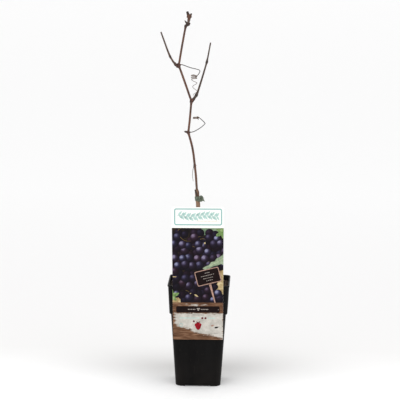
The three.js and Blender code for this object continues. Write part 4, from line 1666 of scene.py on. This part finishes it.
def print_grapes():
    """Dark blue and plum grapes with a pale bloom, by how light the picture is at each point."""
    paint = Paint("print_grapes", (0.03, 0.03, 0.07), INK_ROUGHNESS, specular=INK_SPECULAR)
    tones = paint.tone()
    mottle = paint.ramp(paint.noise(420, 4), (0.3, 0.78), (0.7, 1.12))
    lit = paint.math("MULTIPLY", tones["Red"], mottle)
    blue = paint.ramp(lit, (0.0, (0.006, 0.0045, 0.007)), (0.2, (0.014, 0.012, 0.026)),
                      (0.5, (0.055, 0.052, 0.11)), (0.95, (0.25, 0.26, 0.39)))
    plum = paint.ramp(lit, (0.0, (0.007, 0.004, 0.006)), (0.3, (0.03, 0.013, 0.022)),
                      (0.9, (0.19, 0.13, 0.2)))
    paint.colour(paint.mix(tones["Green"], blue, plum))
    return paint.material


def print_mottled(name, scale, dark, middle, light, distortion=0.6):
    """A printed surface that wanders between three colours."""
    paint = Paint(name, middle, INK_ROUGHNESS, specular=INK_SPECULAR)
    field = paint.noise(scale, 5, distortion=distortion)
    paint.colour(paint.ramp(field, (0.3, dark), (0.5, middle), (0.7, light)))
    return paint.material


def print_boards():
    """Printed boards under worn white paint. The vertex tone says where paint is left."""
    paint = Paint("print_boards", (0.24, 0.12, 0.07), INK_ROUGHNESS, specular=INK_SPECULAR)
    tones = paint.tone()
    fine = paint.noise(900, 4, stretch=(0.12, 1, 1))
    grain = paint.mix(0.4, tones["Green"], fine)
    wood = paint.ramp(grain, (0.25, (0.04, 0.017, 0.01)), (0.5, (0.135, 0.066, 0.036)),
                      (0.8, (0.33, 0.19, 0.115)))
    white = paint.ramp(paint.noise(110, 4), (0.3, (0.4, 0.38, 0.34)), (0.7, (0.6, 0.57, 0.52)))
    paint.colour(paint.mix(tones["Red"], wood, white))
    return paint.material


# Base colour, streak factors, patch colour and scale of each bark.
BARKS = {
    "old_bark": (shaded(slot_colour("old_bark"), 1.3), (0.45, 1.5), (0.14, 0.066, 0.038), 0.8),
    "cane_bark": (shaded(slot_colour("cane_bark"), 0.74), (0.5, 1.6), (0.045, 0.02, 0.014)),
    "node_bark": ((0.2, 0.062, 0.042), (0.3, 1.7), (0.05, 0.018, 0.013), 1.4),
    "left_shoot_bark": ((0.085, 0.045, 0.028), (0.5, 1.6), (0.05, 0.026, 0.018)),
    "shoot_bark": (shaded(slot_colour("shoot_bark"), 0.55), (0.5, 1.6), (0.04, 0.025, 0.02)),
    "dead_wood": (shaded(slot_colour("dead_wood"), 2.2), (0.4, 2.0), (0.045, 0.027, 0.019)),
}
# Colour, roughness, spread, scale and bump in metres.
GRAINS = {
    "label_white": (slot_colour("label_card"), 0.34, 0.012, 60, 0.00001),
    "bud": ((0.04, 0.02, 0.013), 0.7, 0.45, 900, 0.0001),
    "cut_wood": ((0.2, 0.14, 0.09), 0.8, 0.35, 900, 0.0001),
    "tie_plastic": ((0.1, 0.122, 0.085), 0.5, 0.42, 380, 0.0001),
}
# Scale, and the dark, middle and light colours.
MOTTLED = {
    "backdrop": (90, (0.004, 0.003, 0.004), (0.01, 0.008, 0.008), (0.035, 0.022, 0.012)),
    "straw": (150, (0.22, 0.14, 0.06), (0.42, 0.32, 0.16), (0.62, 0.52, 0.32)),
    "blurred_leaf": (70, (0.08, 0.14, 0.09), (0.16, 0.23, 0.14), (0.28, 0.35, 0.24)),
    "leaf": (160, (0.14, 0.19, 0.12), (0.24, 0.31, 0.2), (0.36, 0.43, 0.3)),
    "green_leaf": (160, (0.06, 0.12, 0.04), (0.17, 0.27, 0.09), (0.38, 0.46, 0.24)),
}
# Colour, then spread and scale where they aren't the usual ones.
INKS = {
    "vein": ((0.4, 0.45, 0.29),),
    "stem": ((0.12, 0.08, 0.03), 0.4),
    "pine": ((0.38, 0.235, 0.185), 0.3),
    "slate": ((0.009, 0.004, 0.004), 0.4),
    "chalk": ((0.34, 0.3, 0.27), 0.35, 1500),
    "grey": ((0.2, 0.19, 0.17), 0.3, 700),
    "teal": ((0.26, 0.46, 0.44), 0.06),
    "pale_teal": ((0.42, 0.6, 0.56), 0.1),
    "orange": ((0.75, 0.45, 0.28), 0.08),
    "red": ((0.24, 0.006, 0.014), 0.3, 160),
    "dark_red": ((0.11, 0.012, 0.02), 0.3),
}
MATERIALS = {
    "pot_plastic": pot_plastic(),
    "soil": soil_material("soil", 0.6),
    "soil_crumbs": soil_material("soil_crumbs", 0.76),
    "tendril": tendril_skin(),
    "print_grapes": print_grapes(),
    "print_boards": print_boards(),
}
MATERIALS |= {name: bark_material(name, *looks) for name, looks in BARKS.items()}
MATERIALS |= {name: speckled(name, *looks) for name, looks in GRAINS.items()}
MATERIALS |= {f"print_{name}": print_mottled(f"print_{name}", *looks) for name, looks in MOTTLED.items()}
MATERIALS |= {f"print_{name}": ink(f"print_{name}", *looks) for name, looks in INKS.items()}

build_pot()
build_soil()
build_label()
build_trunk()
NODES = cane_nodes()
build_cane(NODES)
left_line = build_shoot("left_shoot", 3.0, (0.31,), 0.1, 1.12, "left_shoot_bark")
right_line = build_shoot("right_shoot", 7.0, (0.12, 0.68), 0.45, 1.22, "shoot_bark")
build_node_growth(NODES, (("left", left_line, 0.31), ("right", right_line, 0.68)))
build_head(NODES)
build_pruned_stub()
build_tendrils(NODES)
build_tie()


# ------------------------------------------------------------------ stage, light and camera

def floor_paint_with_painted_shadow():
    """A pale floor with a painted shadow: a little greyer round the foot of the pot and just behind it, and
    whiter far behind.
    """
    paint = Paint("floor", (0.8, 0.8, 0.8), 0.8, specular=0.1)
    mapping = paint.node("ShaderNodeMapping")
    paint.feed(mapping.inputs["Vector"], paint.place)
    mapping.inputs["Location"].default_value = (0, -0.55, 0)
    mapping.inputs["Scale"].default_value = (2.6, 5.0, 1)
    # painted shadow: a soft grey patch on the floor round and just behind the foot of the pot
    near = paint.node("ShaderNodeTexGradient", gradient_type="QUADRATIC_SPHERE")
    paint.feed(near.inputs["Vector"], mapping.outputs["Vector"])
    split = paint.node("ShaderNodeSeparateXYZ")
    paint.feed(split.inputs[0], paint.place)
    behind = paint.math("MULTIPLY", split.outputs["Y"], 1 / 16)
    # painted shadow: a greyer band on the floor a little way behind the pot, whiter further back
    far = paint.ramp(behind, (0.0, (0.985, 0.985, 0.985)), (0.014, (0.87, 0.865, 0.86)),
                     (0.05, (0.89, 0.885, 0.885)), (0.14, (0.95, 0.95, 0.95)),
                     (0.5, (0.97, 0.97, 0.97)), (1.0, (0.99, 0.99, 0.99)))
    paint.colour(paint.mix(near.outputs["Fac"], far, (0.6, 0.59, 0.58)))
    return paint.material


def build_stage():
    """A pale floor that runs back a long way, and soft even light with a little more from in front."""
    mesh = bpy.data.meshes.new("floor")
    size = 40.0
    corners = [(-size, -size, 0), (size, -size, 0), (size, size, 0), (-size, size, 0)]
    mesh.from_pydata(corners, [], [(0, 1, 2, 3)])
    mesh.materials.append(floor_paint_with_painted_shadow())
    floor = add_object("floor", mesh)

    world = bpy.data.worlds.new("studio")
    world.use_nodes = True
    world.node_tree.nodes["Background"].inputs["Color"].default_value = (1, 1, 1, 1)
    world.node_tree.nodes["Background"].inputs["Strength"].default_value = 1.0
    bpy.context.scene.world = world

    def area(name, place, target, size, watts):
        light = bpy.data.lights.new(name, "AREA")
        light.shape = "DISK"
        light.size = size
        light.energy = watts
        lamp = add_object(name, light)
        lamp.location = place
        lamp.rotation_euler = (Vector(target) - Vector(place)).to_track_quat("-Z", "Y").to_euler()

    area("key_light", (-0.9, -2.2, 2.0), (0, 0, 0.3), 1.6, 15)
    area("fill_light", (1.4, -1.8, 1.3), (0, 0, 0.3), 1.6, 6)


def build_camera():
    """A long lens 3.5 m away, a little above the plant and to its right."""
    distance, elevation, azimuth, roll = 3.5, math.radians(8.62), math.radians(1.76), math.radians(0.47)
    target = Vector((0, 0, 0.321))
    level = math.cos(elevation)
    away = Vector((math.sin(azimuth) * level, -math.cos(azimuth) * level, math.sin(elevation)))
    data = bpy.data.cameras.new("camera")
    data.sensor_width = 36
    data.lens = 182
    data.clip_end = 200
    camera = add_object("camera", data)
    camera.location = target + away * distance
    look = (-away).to_track_quat("-Z", "Y").to_matrix().to_4x4()
    camera.rotation_euler = (look @ Matrix.Rotation(roll, 4, "Z")).to_euler()
    bpy.context.scene.camera = camera


build_stage()
build_camera()
bpy.context.scene.view_settings.view_transform = "Standard"
